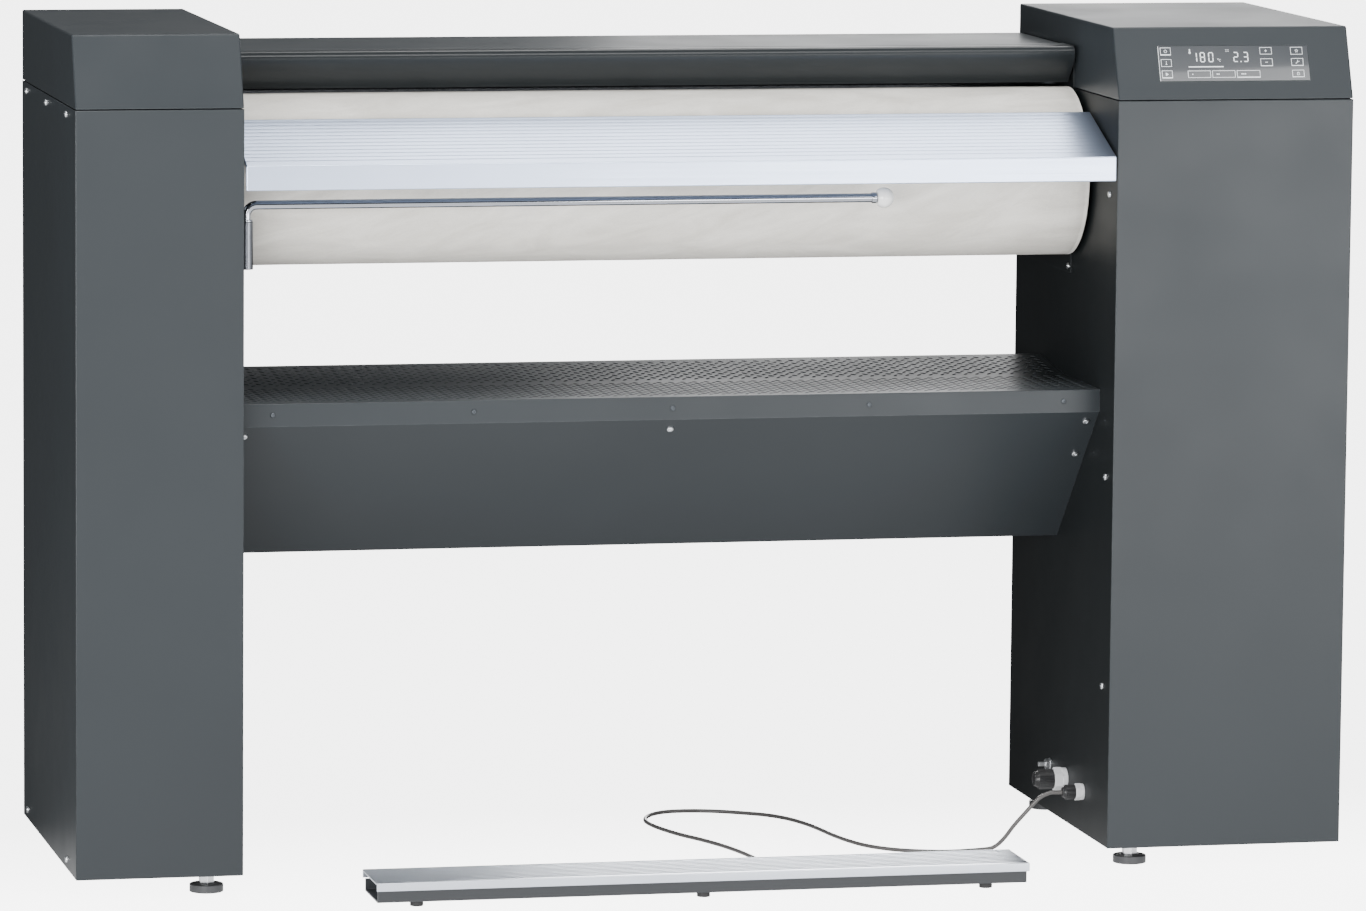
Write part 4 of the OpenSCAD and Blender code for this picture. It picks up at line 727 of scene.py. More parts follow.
# %% [markdown]
# ## Trough cover and finger guard
# The cover is one folded sheet with a raised strip along its front and an end plate at each side.
# The guard in front of it is a rounded nose that gives way when fingers push against it. It is
# drawn as a sheet along a smooth curve, and closed with the ears that its hinge pins stand on.

# %% Cover
cover = eased("trough_cover", "trough_hood", 0.5 * MM, longer=60 * MM, over=25)
dress(cover, "trough_cover")

# %% Finger guard
# The nose's points, as shares of its depth forward and of its height down.
GUARD_SHARES = [(0.05, 0), (0.66, 0), (0.9, 0.06), (1, 0.19), (0.8, 0.47), (0.44, 0.72), (0.1, 0.91),
                (0, 1)]
GUARD_BACK, GUARD_TOP = 34 * MM, 1000.5 * MM
GUARD_ENDS = (-579.5 * MM, 483.5 * MM)
EAR_INSET, EAR_T = 1.9 * MM, 4 * MM
EAR_Y, EAR_Z = (16 * MM, 46.5 * MM), (981 * MM, 993 * MM)
PIN_Y, PIN_Z, PIN_R, PIN_L = 41.5 * MM, 987 * MM, 3 * MM, 4.3 * MM
guard_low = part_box("finger_guard")[0]
guard_deep, guard_drop = GUARD_BACK - guard_low.y, GUARD_TOP - guard_low.z
nose = [Vector((GUARD_BACK - s * guard_deep, GUARD_TOP - t * guard_drop)) for s, t in GUARD_SHARES]
curve = [(y, min(z, GUARD_TOP)) for y, z in smooth_route(nose)]
guard_parts = [folded_sheet("guard_nose", curve, *GUARD_ENDS, SHEET)]
for x, way in zip(GUARD_ENDS, (1, -1)):
    root = x + way * EAR_INSET
    ear = slab("ear", *zip(sorted((root, root + way * EAR_T)), EAR_Y, EAR_Z))
    round_edges(ear, 1.5 * MM, 2)
    guard_parts += [ear, drum("pin", (root, root - way * PIN_L), PIN_Y, PIN_Z, PIN_R, sides=32)]
dress(join("guard_nose", guard_parts), "finger_guard", finish="shaded_guard_paint", smooth=30)
print("guard drop", round(guard_drop / MM, 1), "mm")

# %% [markdown]
# ## Feed board
# The board is an aluminium extrusion. Shallow grooves run along its top so that laundry slides over
# it, and it turns down sharply at the front. The grooves are real: the folded sheet simply follows
# a path that dips twelve times.

# %% Feed board
BOARD_T = 5 * MM
BOARD_FALL = 45 * MM
BOARD_BACK_Y = -54.5 * MM
board_low, board_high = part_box("feed_board")
top = grooved((BOARD_BACK_Y, board_high.z), (board_low.y, board_high.z - BOARD_FALL),
              first=0.06, last=0.9, count=12, width=2.2 * MM, depth=0.35 * MM)
board = folded_sheet("grooved_board", [*top, (board_low.y, board_low.z)],
                     board_low.x, board_high.x, BOARD_T)
round_edges(board, 1.2 * MM, 4, over=50)
dress(board, "feed_board", smooth=50)
print("board points:", len(top))

# %% [markdown]
# ## Tray and apron
# Ironed laundry slides over the roll on to the tray. Its top is embossed with small slanting tears
# that keep damp cloth from sticking, so those are modelled: one low lozenge is shaped from a sphere
# and two arrays repeat it, a second set turned the other way between the first.

# %% Tray sheet
tray_low, tray_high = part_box("tray")
TRAY_Y = [-110.5 * MM, 50.5 * MM, 173.5 * MM]
TRAY_Z = [586 * MM, 599 * MM]
TRAY_TAIL = 24 * MM
FOLD_R = 1.4 * MM
tray_path = [(TRAY_Y[2], TRAY_Z[1] - TRAY_TAIL), (TRAY_Y[2], TRAY_Z[1]), (TRAY_Y[1], TRAY_Z[0]),
             (TRAY_Y[0], TRAY_Z[0]), (TRAY_Y[0], tray_low.z)]
tray = folded_sheet("tray_sheet", tray_path, tray_low.x, tray_high.x, SHEET, fold=FOLD_R, over=10)
round_edges(tray, 0.3 * MM, 2, over=60)

# %% Tray embossing
TEAR_LONG, TEAR_WIDE, TEAR_HIGH = 9 * MM, 3 * MM, 0.7 * MM
TEAR_STEP_X, TEAR_STEP_Y = 15 * MM, 17 * MM
TEAR_LEAN = math.radians(40)
TEAR_MARGIN = 10 * MM
TRAY_RISE = (TRAY_Z[1] - TRAY_Z[0]) / (TRAY_Y[2] - TRAY_Y[1])


def tears(lean, shift, y0, y1, slope):
    """Rows of lozenges that lean one way, between two values of y. The second set is shifted."""
    bpy.ops.mesh.primitive_uv_sphere_add(segments=8, ring_count=4, radius=0.5)
    tear = bpy.context.object
    tear.scale = (TEAR_LONG, TEAR_WIDE, 2 * TEAR_HIGH)
    tear.rotation_euler.z = lean
    settle("tear")
    edit(tear)
    pick_all()
    bpy.ops.mesh.bisect(plane_co=(0, 0, -0.1 * MM), plane_no=(0, 0, 1), clear_inner=True)
    leave()
    x0, x1 = tray_low.x + TEAR_MARGIN, tray_high.x - TEAR_MARGIN
    across = int((x1 - x0) / TEAR_STEP_X)
    for step, count in (((TEAR_STEP_X, 0, 0), across),
                        ((0, TEAR_STEP_Y, 0), int((y1 - y0) / TEAR_STEP_Y))):
        modify(tear, "ARRAY", use_relative_offset=False, use_constant_offset=True,
               constant_offset_displace=step, count=count)
    x = (x0 + x1 + (shift - across + 1) * TEAR_STEP_X) / 2
    y = y0 + (shift / 2 + 0.2) * TEAR_STEP_Y
    z = TRAY_Z[0] + slope * (y - TRAY_Y[1])
    tear.data.transform(Matrix.Translation((x, y, z)) @ Matrix.Rotation(math.atan(slope), 4, "X"))
    return tear


tear_pieces = []
for lean, shift in ((TEAR_LEAN, 0), (-TEAR_LEAN, 1)):
    tear_pieces += [tears(lean, shift, TRAY_Y[0] + 16 * MM, TRAY_Y[1] - 3 * MM, 0),
                    tears(lean, shift, TRAY_Y[1] + 8 * MM, TRAY_Y[2] - 5 * MM, TRAY_RISE)]
tray = join("embossed_tray", [tray, *tear_pieces])
dress(tray, "tray", smooth=45)
print("tray faces:", len(tray.data.polygons))

# %% Apron
apron_low, apron_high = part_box("apron")
APRON_FOLD = 12 * MM
APRON_Y, APRON_BEND_Z = -109 * MM, 558 * MM
apron_path = [(APRON_Y, apron_high.z), (APRON_Y, APRON_BEND_Z), (apron_high.y - APRON_FOLD, apron_low.z),
              (apron_high.y, apron_low.z)]
apron = folded_sheet("apron_sheet", apron_path, apron_low.x, apron_high.x, SHEET, fold=FOLD_R)
round_edges(apron, 0.3 * MM, 2, over=60)
dress(apron, "apron", smooth=40)

# %% [markdown]
# ## Screws and rivets
# Every fastener is modelled once at the origin, pointing up, and copied to its places. The places
# come from the frame: the widest flat face of a CAD screw is the top of its head, and that of a
# rivet is the underside of its head.

# %% Find the fasteners
SCREW_AREA, RIVET_AREA = 44.4 * MM * MM, 20 * MM * MM


def widest_faces(node, area):
    """Centres and normals of a node's flat faces that are larger than an area."""
    mesh = bmesh.new()
    mesh.from_mesh(nodes[node].data)
    bmesh.ops.remove_doubles(mesh, verts=mesh.verts, dist=MERGE)
    bmesh.ops.dissolve_limit(mesh, angle_limit=FLAT, verts=mesh.verts, edges=mesh.edges)
    found = [(f.calc_center_bounds(), f.normal.copy()) for f in mesh.faces if f.calc_area() > area]
    mesh.free()
    return found


heads = widest_faces("panel_screws", SCREW_AREA)
print("screw heads found:", len(heads))

# %% Model the screws
HEAD_R, HEAD_H = 4.2 * MM, 2.4 * MM
SHANK_R, SHANK_L = 2 * MM, 8 * MM
SOCKET_DEEP = 1.3 * MM
LOBE_SHARE = 0.72


def screw(dome, socket_r):
    """A screw whose head's top is at the origin, with a lobed socket sunk into it."""
    head = drum("head", 0, 0, (-HEAD_H, 0), HEAD_R, sides=24)
    edit(head)
    pick(head, "EDGE", within(lambda p: p.z > -0.1 * MM))
    bevel(dome, 4)
    pick(head, "FACE", looks(z=1))
    bpy.ops.mesh.inset(thickness=HEAD_R - dome - socket_r)
    pick(head, "VERT", lambda v: v.co.xy.length < socket_r * 1.05 and v.co.z > -0.1 * MM
         and round(math.atan2(v.co.y, v.co.x) / math.radians(15)) % 4 in (0, 1))
    widen((0, 0, 0), LOBE_SHARE, LOBE_SHARE)
    pick(head, "FACE", lambda f: f.normal.z > 0.99 and f.calc_center_median().xy.length < 0.2 * MM)
    pull(z=-SOCKET_DEEP)
    leave()
    shank = drum("shank", 0, 0, (-HEAD_H - SHANK_L, -HEAD_H + 0.2 * MM), SHANK_R, sides=16)
    return join("screw", [head, shank])


pan_places = [facing(c, n) for c, n in heads if abs(n.z) < 0.1]
hex_places = [facing(c, n) for c, n in heads if abs(n.z) >= 0.1]
pan_screws = copies("pan_screws", screw(1.7 * MM, 1.7 * MM), pan_places)
hex_screws = copies("hex_screws", screw(0.9 * MM, 2.2 * MM), hex_places)
dress(join("screw_heads", [pan_screws, hex_screws]), "panel_screws", smooth=40)

# %% Model the rivets
RIVET_R, RIVET_H = 3.2 * MM, 1.6 * MM
rivet = drum("rivet", 0, 0, (-0.3 * MM, RIVET_H), RIVET_R, sides=24)
edit(rivet)
pick(rivet, "EDGE", within(lambda p: p.z > RIVET_H - 0.1 * MM))
bevel(1.3 * MM)
sink(rivet, looks(z=1), 0.7 * MM, z=-0.9 * MM)
leave()
rivet_places = [facing(c, -n) for c, n in widest_faces("tray_rivets", RIVET_AREA)]
dress(copies("rivet_heads", rivet, rivet_places), "tray_rivets", finish="rivet_metal", smooth=40)
print("rivets:", len(rivet_places))

# %% [markdown]
# ## The roll
# The roll carries a felt padding under a sleeve of cream ironing cloth. The sleeve is a tube whose
# skin swells a little by a cloud texture, with a line pressed in near each end, and its edges are
# turned in over the padding. It is one sheet of cloth, stretched round the roll.

# %% Cloth sleeve
ROLL_AXIS = Vector((0, 32.5 * MM, 844 * MM))
ROLL_R = 105 * MM
ROLL_EASE = 0.3 * MM
SWELL = 0.5 * MM
CLOTH_T = 0.8 * MM
HEM, HEM_SHARE = 4 * MM, 0.997
roll_low, roll_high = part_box("roll_cloth")
x0, x1 = roll_low.x + ROLL_EASE, roll_high.x - ROLL_EASE
bpy.ops.mesh.primitive_cylinder_add(
    vertices=160, radius=ROLL_R - SWELL, depth=x1 - x0, end_fill_type="NOTHING",
    location=((x0 + x1) / 2, ROLL_AXIS.y, ROLL_AXIS.z), rotation=(0, math.radians(90), 0))
sleeve = settle("ironing_cloth")
edit(sleeve)
for end, way in ((x0, 1), (x1, -1)):
    for step in (HEM - MM, HEM, HEM + MM):
        pick_all()
        bpy.ops.mesh.bisect(plane_co=(end + way * step, 0, 0), plane_no=(1, 0, 0))
    pick(sleeve, "VERT", lambda v: abs(v.co.x - end - way * HEM) < 0.1 * MM)
    widen(ROLL_AXIS, 1, HEM_SHARE, HEM_SHARE)
pick(sleeve, "EDGE", lambda e: abs(e.verts[0].co.x - e.verts[1].co.x) > 0.5)
bpy.ops.mesh.subdivide(number_cuts=90)
for end, way in ((x0, 1), (x1, -1)):
    pick(sleeve, "EDGE", within(lambda p: abs(p.x - end) < 0.1 * MM))
    for inward, share in ((0, 0.975), (1.2 * MM, 0.90)):
        pull(x=way * inward)
        widen(ROLL_AXIS, 1, share, share)
leave()
swell = bpy.data.textures.new("cloth swell", "CLOUDS")
swell.noise_scale = 0.06
modify(sleeve, "DISPLACE", texture=swell, texture_coords="LOCAL", strength=SWELL, mid_level=0.5)
modify(sleeve, "SOLIDIFY", thickness=CLOTH_T, offset=-1)
dress(sleeve, "roll_cloth", smooth=60, weighted=False)
print("sleeve faces:", len(sleeve.data.polygons))

# %% Felt padding
FELT_R = 102.6 * MM
FELT_IN = 91 * MM
FELT_SHORT = 1.8 * MM
padding = drum("felt_padding", (x0 + FELT_SHORT, x1 - FELT_SHORT), *ROLL_AXIS.yz, FELT_R, sides=96)
edit(padding)
bore(padding, 0, FELT_R - FELT_IN)
pick(padding, "EDGE", sharp(60))
bevel(1.5 * MM)
leave()
dress(padding, "roll_padding", smooth=50)

# %% [markdown]
# ## Linen rod
# A chrome rod turns in a socket on the left wall. Sheets waiting to be ironed hang over it. It is a
# round bar along a path: up out of the socket, round a tight bend and along to its white knob.

# %% Rod
ROD_R = 5.5 * MM
ROD_BEND = 12 * MM
COLLAR_R, CUFF_R = 7.8 * MM, 6.6 * MM
socket_low, socket_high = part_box("rod_socket")
rod_low, rod_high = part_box("linen_rod")
rod_x, rod_y, rod_z = -577.6 * MM, -141.5 * MM, 829 * MM
bend = [Vector((rod_x + ROD_BEND * (1 - math.cos(t)), rod_y, rod_z - ROD_BEND * (1 - math.sin(t))))
        for t in (math.radians(7.5 * k) for k in range(13))]
rod_path = [Vector((rod_x, rod_y, rod_low.z + 0.1 * MM)), *bend, Vector((rod_high.x, rod_y, rod_z))]
rod = as_mesh(tube_curve("rod", rod_path, ROD_R, roundness=8))
collar = drum("collar", rod_x, rod_y, (socket_high.z + 0.1 * MM, socket_high.z + 2.8 * MM), COLLAR_R)
round_edges(collar, 0.8 * MM)
cuff = drum("cuff", (rod_high.x - 16 * MM, rod_high.x - 9 * MM), rod_y, rod_z, CUFF_R)
round_edges(cuff, 1.2 * MM)
dress(join("chrome_rod", [rod, collar, cuff]), "linen_rod", smooth=50)
print("rod reach", round((rod_high.x - rod_x) / MM), "mm")

# %% Knob
KNOB_R = 12.5 * MM
KNOB_CUT = 0.7 * KNOB_R
bpy.ops.mesh.primitive_uv_sphere_add(
    segments=64, ring_count=40, radius=KNOB_R, location=(rod_high.x, rod_y, rod_z),
    rotation=(0, math.radians(90), 0))
knob = settle("rod_ball")
edit(knob)
pick_all()
bpy.ops.mesh.bisect(plane_co=(rod_high.x - KNOB_CUT, 0, 0), plane_no=(1, 0, 0), clear_inner=True,
                    use_fill=True)
pick(knob, "FACE", looks(x=-1))
bevel(1.0 * MM)
sink(knob, looks(x=-1), 1.6 * MM, x=2 * MM)
leave()
dress(knob, "rod_knob", smooth=50)

# %% Socket
SOCKET_R, WEB_HALF, PLATE_T = 8 * MM, 4 * MM, 2 * MM
socket = drum("socket", rod_x, rod_y, (socket_low.z, socket_high.z), SOCKET_R)
edit(socket)
bore(socket, 2, SOCKET_R - ROD_R - 0.1 * MM)
leave()
round_edges(socket, 0.4 * MM, 2, over=60)
web = slab("web", (socket_low.x, rod_y - WEB_HALF, socket_low.z + 14 * MM),
           (rod_x - 6 * MM, rod_y + WEB_HALF, socket_high.z - MM))
plate = slab("plate", (socket_low.x, rod_y - WEB_HALF, socket_low.z + 12 * MM),
             (socket_low.x + PLATE_T, rod_y + WEB_HALF, socket_high.z))
round_edges(plate, 0.6 * MM, 2)
dress(join("rod_holder", [socket, web, plate]), "rod_socket", finish="socket_steel", smooth=50)

# %% [markdown]
# ## Display
# Touch fields and a seven-segment readout lie on a strip of half-reflecting glass. The marks are
# drawn flat, in millimetres from the lower left corner of the glass, from bars, rings and arcs.
# They get a hair of thickness and are then turned on to the slanted glass.

# %% Glass
on_glass = (slant @ Matrix.Translation((glass_low.x, -GLASS_PROUD, GLASS_UP))
            @ Matrix.Rotation(math.radians(90), 4, "X"))
pane = slab("pane", (0, 0, -GLASS_PROUD - SHEET), (GLASS_W, GLASS_H, 0))
round_edges(pane, 0.35 * MM)
pane.data.transform(on_glass)
dress(pane, "display_glass")


# %% Strokes of the print
def bar(x, y, w, h, turn=0.0):
    """A bar centred on a point, sizes in millimetres."""
    bpy.ops.mesh.primitive_plane_add(size=1, location=(x * MM, y * MM, 0),
                                     rotation=(0, 0, math.radians(turn)))
    bpy.context.object.scale = (w * MM, h * MM, 1)
    return [settle("mark")]


def ring(x, y, radius, width, first=0, last=360, sides=20):
    """A ring or an arc of short bars."""
    made = []
    step = (last - first) / sides
    for k in range(sides):
        a = math.radians(first + (k + 0.5) * step)
        made += bar(x + radius * math.cos(a), y + radius * math.sin(a),
                    width, radius * math.radians(step) * 1.15, math.degrees(a))
    return made


SEGMENTS = {"0": "abcdef", "1": "bc", "2": "abged", "3": "abgcd", "8": "abcdefg"}
SEGMENT_PLACES = {"a": (0.5, 1, 0), "b": (1, 0.75, 1), "c": (1, 0.25, 1), "d": (0.5, 0, 0),
                  "e": (0, 0.25, 1), "f": (0, 0.75, 1), "g": (0.5, 0.5, 0)}


def digit(sign, x, y, w, h, line=1.25):
    """A seven-segment digit whose lower left corner is at a point."""
    made = []
    for letter in SEGMENTS[sign]:
        u, v, upright = SEGMENT_PLACES[letter]
        size = (line, h / 2 - 0.9) if upright else (w - 0.9, line)
        made += bar(x + u * w, y + v * h, *size)
    return made


# %% Keys and their symbols
# A key is its left, upper, right and lower side as shares of the glass, and its lower line's width.
KEY_LINE = 0.55
KEYS = {"power": (.018, .05, .085, .25, 1.3), "info": (.018, .38, .085, .58, .55),
        "start": (.018, .70, .085, .90, 1.3), "slow": (.19, .71, .338, .90, .55),
        "medium": (.352, .71, .502, .90, .55), "fast": (.516, .71, .668, .90, 1.3),
        "plus": (.68, .06, .757, .25, .55), "minus": (.68, .38, .757, .58, .9),
        "star": (.885, .06, .962, .26, .55), "service": (.885, .38, .962, .58, .9),
        "lock": (.885, .71, .962, .90, .9)}
# The symbols' bars and arcs, from the middle of their key.
STROKES = {"power": [(0, 1.4, 0.5, 1.8)],
           "info": [(0, -0.7, 0.8, 2.6), (0, 1.8, 0.9, 0.9), (0, -2.0, 2.2, 0.5)],
           "start": [(-1.6 + k * 0.55, 0, 0.6, 3.9 - k * 0.6) for k in range(7)],
           "plus": [(0, 0, 3.2, 0.6), (0, 0, 0.6, 3.2)], "minus": [(0, 0, 3.2, 0.6)],
           "service": [(-0.6, -0.6, 3.6, 0.8, 45)],
           "lock": [(0, 0.5, 3.4, 0.5), (0, -1.7, 3.4, 0.5),
                    (-1.5, -0.6, 0.5, 2.4), (1.5, -0.6, 0.5, 2.4)]}
for name, dots in (("slow", 1), ("medium", 2), ("fast", 3)):
    STROKES[name] = [(-8.5 + 2.2 * k, 0, 1.5, 1.5) for k in range(dots)]
ARCS = {"power": (0, 0, 1.7, 0.5, 120, 420), "service": (1.3, 1.3, 1.1, 0.6, 100, 350, 12),
        "lock": (0, 0.5, 1.2, 0.5, 0, 180, 10)}
STAR_TIP, STAR_DENT = 2.2, 1.0
STROKES["star"] = []
for k in range(5):
    a = math.radians(90 + 72 * k)
    for lean in (math.radians(-36), math.radians(36)):
        tip = Vector((math.cos(a), math.sin(a))) * STAR_TIP
        dent = Vector((math.cos(a + lean), math.sin(a + lean))) * STAR_DENT
        run = tip - dent
        turn = math.degrees(math.atan2(run.y, run.x))
        STROKES["star"].append((*(tip + dent) / 2, run.length + 0.3, 0.4, turn))

# %% Draw the print
marks = []
for name, (left, upper, right, lower, foot) in KEYS.items():
    x, w = (left + right) / 2 * GLASS_W / MM, (right - left) * GLASS_W / MM
    y, h = (1 - (upper + lower) / 2) * GLASS_H / MM, (lower - upper) * GLASS_H / MM
    marks += bar(x, y + h / 2, w + KEY_LINE, KEY_LINE) + bar(x, y - h / 2, w + KEY_LINE, foot)
    marks += bar(x - w / 2, y, KEY_LINE, h) + bar(x + w / 2, y, KEY_LINE, h)
    for dx, dy, *rest in STROKES[name]:
        marks += bar(x + dx, y + dy, *rest)
    if name in ARCS:
        dx, dy, *rest = ARCS[name]
        marks += ring(x + dx, y + dy, *rest)

DIGIT_W, DIGIT_H, DIGIT_FOOT = 5.2, 11.6, 24.6
for sign, x in (("1", 43.5), ("8", 53.6), ("0", 64.2), ("2", 96.0), ("3", 108.6)):
    marks += digit(sign, x, DIGIT_FOOT, DIGIT_W, DIGIT_H)
SIGN_BARS = [(104.8, DIGIT_FOOT, 1.5, 1.5), (40.5, 38.6, 1.4, 4.6), (59.8, 18.2, 44.5, 1.3),
             (0.6, 22.5, 0.6, 44)]
SIGN_BARS += [(86.5 + 1.6 * k, y, 1.1, 0.5) for k in range(3) for y in (39.6, 37.8)]
SIGN_RINGS = [(75.6, DIGIT_FOOT + 3.3, 0.6, 0.35, 0, 360, 8),
              (78.2, DIGIT_FOOT + 1.8, 1.3, 0.4, 50, 310, 10), (40.5, 36.2, 1.0, 0.9, 0, 360, 10)]
for sizes in SIGN_BARS:
    marks += bar(*sizes)
for sizes in SIGN_RINGS:
    marks += ring(*sizes)
marks = join("display_marks", marks)
modify(marks, "SOLIDIFY", thickness=0.04 * MM, offset=1)
marks.data.transform(on_glass @ Matrix.Translation((0, 0, 0.01 * MM)))
dress(marks, finish="print_with_painted_glow", body="root", slot="display_glass", weighted=False)
print("print faces:", len(marks.data.polygons))

# %% [markdown]
# ## Foot bar
# The bar on the floor is a ribbed aluminium cover that sinks on springs into a dark channel. Its
# ribs come from the same grooved path as the feed board. The springs are wire along a helix, built
# at rest; on the machine they flatten when the bar is pressed.

# %% Bar
BAR_LIP, BAR_T = 10 * MM, 2.2 * MM
POST_R, POST_FOOT = 4 * MM, 16 * MM
bar_low, bar_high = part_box("pedal_plate")
bar_x, bar_y, _ = (bar_low + bar_high) / 2
ribs = grooved((bar_high.y, bar_high.z), (bar_low.y, bar_high.z),
               first=0.07, last=0.88, count=10, width=4.4 * MM, depth=0.7 * MM)
bar_path = [(bar_high.y, bar_high.z - BAR_LIP), *ribs, (bar_low.y, bar_high.z - BAR_LIP)]
ribbed = folded_sheet("ribbed_bar", bar_path, bar_low.x, bar_high.x, BAR_T)
round_edges(ribbed, 0.5 * MM, 2, over=60)
half_post = 0.4 * (bar_high.x - bar_low.x)
post_places = (bar_x - half_post, bar_x + half_post)
posts = [drum("post", x, bar_y, (POST_FOOT, bar_high.z - BAR_T + 0.2 * MM), POST_R) for x in post_places]
dress(join("ribbed_bar", [ribbed, *posts]), "pedal_plate", finish="bar_metal", smooth=50)

# %% Channel
CHANNEL_T, GUIDE_R = 2 * MM, 6 * MM
channel_low, channel_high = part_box("pedal_channel")
channel_path = [(channel_low.y, channel_high.z), (channel_low.y, channel_low.z),
                (channel_high.y, channel_low.z), (channel_high.y, channel_high.z)]
channel_parts = [folded_sheet("bar_channel", channel_path, channel_low.x, channel_high.x, CHANNEL_T,
                              fold=1.2 * MM)]
for x in post_places:
    guide = drum("guide", x, bar_y, (channel_low.z + MM, channel_high.z), GUIDE_R)
    edit(guide)
    sink(guide, looks(z=1), GUIDE_R - POST_R - 0.1 * MM, z=channel_low.z - channel_high.z + 2 * MM)
    leave()
    channel_parts.append(guide)
dress(join("bar_channel", channel_parts), "pedal_channel")

# %% Springs and rubber feet
COIL_R, WIRE_R, TURNS, STEPS = 7 * MM, 0.9 * MM, 4, 24
coil_low, coil_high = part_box("pedal_springs")
reach, rise = COIL_R - WIRE_R, coil_high.z - coil_low.z - 2 * WIRE_R
coils = []
for shift in (-295 * MM, 0, 295 * MM):
    helix = []
    for k in range(STEPS * TURNS + 1):
        a = 2 * math.pi * k / STEPS
        helix.append(Vector((bar_x + shift + reach * math.cos(a), bar_y + reach * math.sin(a),
                             coil_low.z + WIRE_R + rise * k / (STEPS * TURNS))))
    coils.append(as_mesh(tube_curve("coil", helix, WIRE_R, roundness=3)))
springs = dress(join("bar_springs", coils), "pedal_springs", body="root", smooth=60, weighted=False)
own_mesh(springs)
foot_stubs = eased("pedal_feet", "bar_feet", 0.8 * MM, longer=0.2 * MM)
dress(foot_stubs, "pedal_feet", smooth=40)
print("spring faces:", len(springs.data.polygons))

# %% [markdown]
# ## Levelling feet
# Each cabinet stands on moulded pads with a zinc plated stud and hexagon. The pad is a low round
# block whose top is drawn in towards the hexagon, with every edge softened.

# %% Feet
PAD_R, PAD_SIDE, PAD_H, PAD_SHARE = 20.5 * MM, 9.5 * MM, 11 * MM, 0.55
HEX_W, HEX_TOP, STUD_R = 17 * MM, 21.8 * MM, 6 * MM
for end, side in (("front", "left"), ("front", "right"), ("rear", "left"), ("rear", "right")):
    node = f"foot_{end}_{side}"
    low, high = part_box(node)
    x, y, _ = (low + high) / 2
    pad = drum("pad", x, y, (0, PAD_SIDE), PAD_R, sides=72)
    edit(pad)
    pick(pad, "FACE", looks(z=1))
    pull(z=PAD_H - PAD_SIDE)
    widen((x, y, 0), PAD_SHARE, PAD_SHARE)
    leave()
    round_edges(pad, 0.9 * MM, over=25)
    nut = drum("nut", x, y, (PAD_H, HEX_TOP), HEX_W / math.sqrt(3), sides=6)
    round_edges(nut, 0.6 * MM, 2)
    stud = drum("stud", x, y, (PAD_H, high.z), STUD_R, sides=32)
    for part, finish in ((pad, "foot_plastic"), (nut, "screw_steel"), (stud, "screw_steel")):
        paint(part, finish)
    dress(join(f"{side}_{end}_foot", [pad, nut, stud]), node)
    print(node, "at", round(x, 3), round(y, 3))

# %% [markdown]
# ## Glands and earth stud
# The glands are moulded: a pale hexagon against the wall and a black cap with grip ribs, whose
# rounded lip closes on the cable. The ribs are made by pulling every other side face outwards.

# %% Glands
wall_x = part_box("right_inner_wall")[0].x


def gland(name, node, y, z, hole_r):
    """A gland on the wall. The places along it are shares of its length, the radii of its nut's."""
    low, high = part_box(node)
    nut_r = (high.z - low.z) / 2
    length = wall_x - low.x

    def at(share):
        return low.x + share * length

    cap = drum("cap", (at(0.14), at(0.58)), y, z, 0.82 * nut_r, sides=36)
    edit(cap)
    pick(cap, "FACE", lambda f: abs(f.normal.x) < 0.1
         and round(math.degrees(math.atan2(f.normal.z, f.normal.y)) / 10 - 0.5) % 2 == 0)
    bpy.ops.mesh.inset(thickness=0.18 * MM, use_individual=True)
    bpy.ops.transform.shrink_fatten(value=0.35 * MM)
    sink(cap, looks(x=-1), 0.12 * nut_r, x=-0.06 * length)
    widen((low.x, y, z), 1, 0.9, 0.9)
    pull(x=-0.05 * length)
    widen((low.x, y, z), 1, 0.86, 0.86)
    leave()
    lip_r = max(0.56 * nut_r, hole_r + 1.2 * MM)
    lip = drum("lip", (at(0), at(0.2)), y, z, lip_r, sides=48)
    edit(lip)
    sink(lip, looks(x=-1), lip_r - hole_r - 0.05 * MM, x=0.18 * length)
    leave()
    round_edges(lip, 0.5 * MM)
    neck = drum("neck", (at(0.58) - MM, wall_x), y, z, 0.7 * nut_r, sides=32)
    hexagon = drum("hexagon", (at(0.60), at(0.86)), y, z, nut_r, sides=6)
    round_edges(hexagon, 0.9 * MM)
    flange = drum("flange", (at(0.84), wall_x - 0.05 * MM), y, z, 0.93 * nut_r, sides=48)
    round_edges(flange, 0.8 * MM)
    locknut = drum("locknut", (wall_x + 3 * MM, wall_x + 9 * MM), y, z, nut_r, sides=6)
    parts = [cap, lip, neck, hexagon, flange, locknut]
    for part in parts:
        paint(part, "black_plastic" if part in parts[:3] else "pale_plastic")
    return dress(join(name, parts), node)


small_gland = gland("bar_cable_gland", "cable_gland", -62.5 * MM, 76 * MM, CABLE_R)
gland("mains_cable_gland", "mains_gland", 18.5 * MM, 79 * MM, 6.5 * MM)

# %% Earth stud
stud_low, stud_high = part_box("earth_stud")
EARTH_Y, EARTH_Z, EARTH_R = 92.5 * MM, 85.5 * MM, 3 * MM
bolt = drum("bolt", (stud_low.x, stud_high.x), EARTH_Y, EARTH_Z, EARTH_R, sides=32)
round_edges(bolt, 0.6 * MM)
earth_parts = [bolt]
# Washer and nut in front of the wall and a nut behind it, in millimetres from the wall.
for start, end, radius, sides in ((-1.6, -0.05, 7.5, 48), (-7, -1.6, 6.8, 6), (3, 6, 5.8, 6)):
    span = (wall_x + start * MM, wall_x + end * MM)
    part = drum("nut", span, EARTH_Y, EARTH_Z, radius * MM, sides)
    round_edges(part, 0.4 * MM, 2)
    earth_parts.append(part)
dress(join("earth_bolt", earth_parts), "earth_stud")

# %% Finish the cable
dress(cable, "foot_cable")

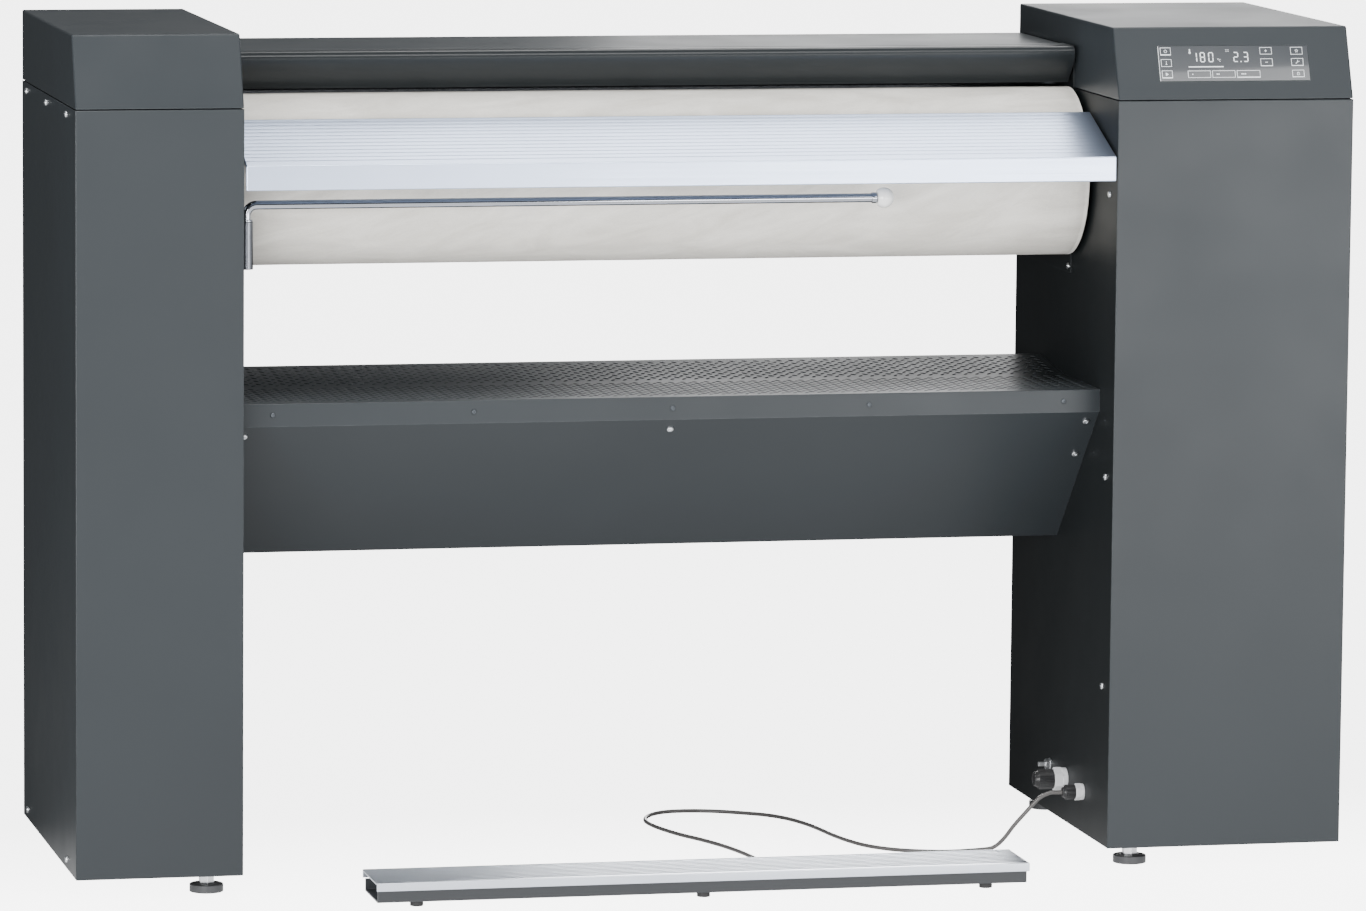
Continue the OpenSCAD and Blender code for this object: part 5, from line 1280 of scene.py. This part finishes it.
# %% [markdown]
# ## Stage
# The machine stands on a plain pale floor that fills the picture. The floor looks almost white to
# the camera. In reflections it is bright in front of the machine and dark behind it, so that the
# dark paint keeps its depth. Softboxes light the rest. Several are placed by what mirrors them: one
# behind on the right shines in the right lid and the cover, a low one behind shines in the tray, one
# low in front shines in the front of the feed board, one at the left lights the side of the left
# cabinet, and the upper edge of one high on the right crosses the display glass.

# %% Floor and world
bpy.ops.mesh.primitive_plane_add(size=80, location=(0, 20, -0.0005))
floor = settle("floor")
tree, shader = new_material("floor", Roughness=0.9, Specular_IOR_Level=0.1,
                            Base_Color=(0.10, 0.10, 0.10, 1), Emission_Color=(1, 1, 1, 1))
depth = add(tree, "SeparateXYZ", {0: add(tree, "TexCoord").outputs["Object"]}).outputs["Y"]
lit = add(tree, "MapRange", {"Value": depth, "From Min": 0.35, "From Max": -0.2,
                             "To Min": 0.03, "To Max": 1.6}).outputs[0]
seen = add(tree, "LightPath").outputs["Is Camera Ray"]
tree.links.new(calc(tree, "MULTIPLY_ADD", seen, 5.0, lit), shader.inputs["Emission Strength"])
paint(floor, "floor")

world = bpy.data.worlds.new("studio")
bpy.context.scene.world = world
world.use_nodes = True
sky = world.node_tree.nodes["Background"]
sky.inputs["Color"].default_value = (0.90, 0.95, 1.0, 1)
sky.inputs["Strength"].default_value = 0.16


# %% Softboxes
def softbox(name, place, target, width, height, glow, grid=180):
    """A rectangular light that looks at a point. Glow is its brightness along its axis, whatever its
    size. A grid in front of it holds its light within an angle, and so keeps it off the floor."""
    bpy.ops.object.light_add(type="AREA", location=place)
    light = bpy.context.object
    light.name = name
    light.visible_camera = False
    light.data.shape = "RECTANGLE"
    light.data.size, light.data.size_y = width, height
    light.data.energy = glow * math.pi * width * height
    if grid < 180:
        half = math.radians(grid / 2)
        light.data.spread = 2 * half
        light.data.energy *= (math.tan(half) - half) / math.tan(half)
    light.rotation_euler = (Vector(target) - Vector(place)).to_track_quat("-Z", "Y").to_euler()


softbox("key", (0.0, -1.8, 4.2), (0, 0, 0.9), 3.2, 1.4, 15.0, grid=110)
softbox("front", (2.1, -4.2, 0.5), (2.1, 0, 0.5), 2.8, 0.9, 10.0)
softbox("low left", (-2.6, -4.6, 1.0), (-0.2, 0, 0.5), 2.4, 1.4, 20.0)
softbox("top", (1.4, 2.4, 3.8), (0.4, 0, 0.9), 2.8, 1.6, 6.0, grid=90)
softbox("behind", (1.95, 4.0, 1.75), (1.95, 0, 1.3), 2.4, 1.2, 3.2, grid=120)
softbox("low behind", (1.5, 4.0, 0.6), (1.5, 0, 0.3), 1.8, 0.6, 18.0, grid=90)
softbox("side", (-5.0, -1.3, 0.9), (-0.8, -0.2, 0.9), 1.0, 0.8, 26.0)
softbox("display", (2.8, -4.6, 3.56), (2.4, 0, 3.56), 2.8, 2.0, 4.3)
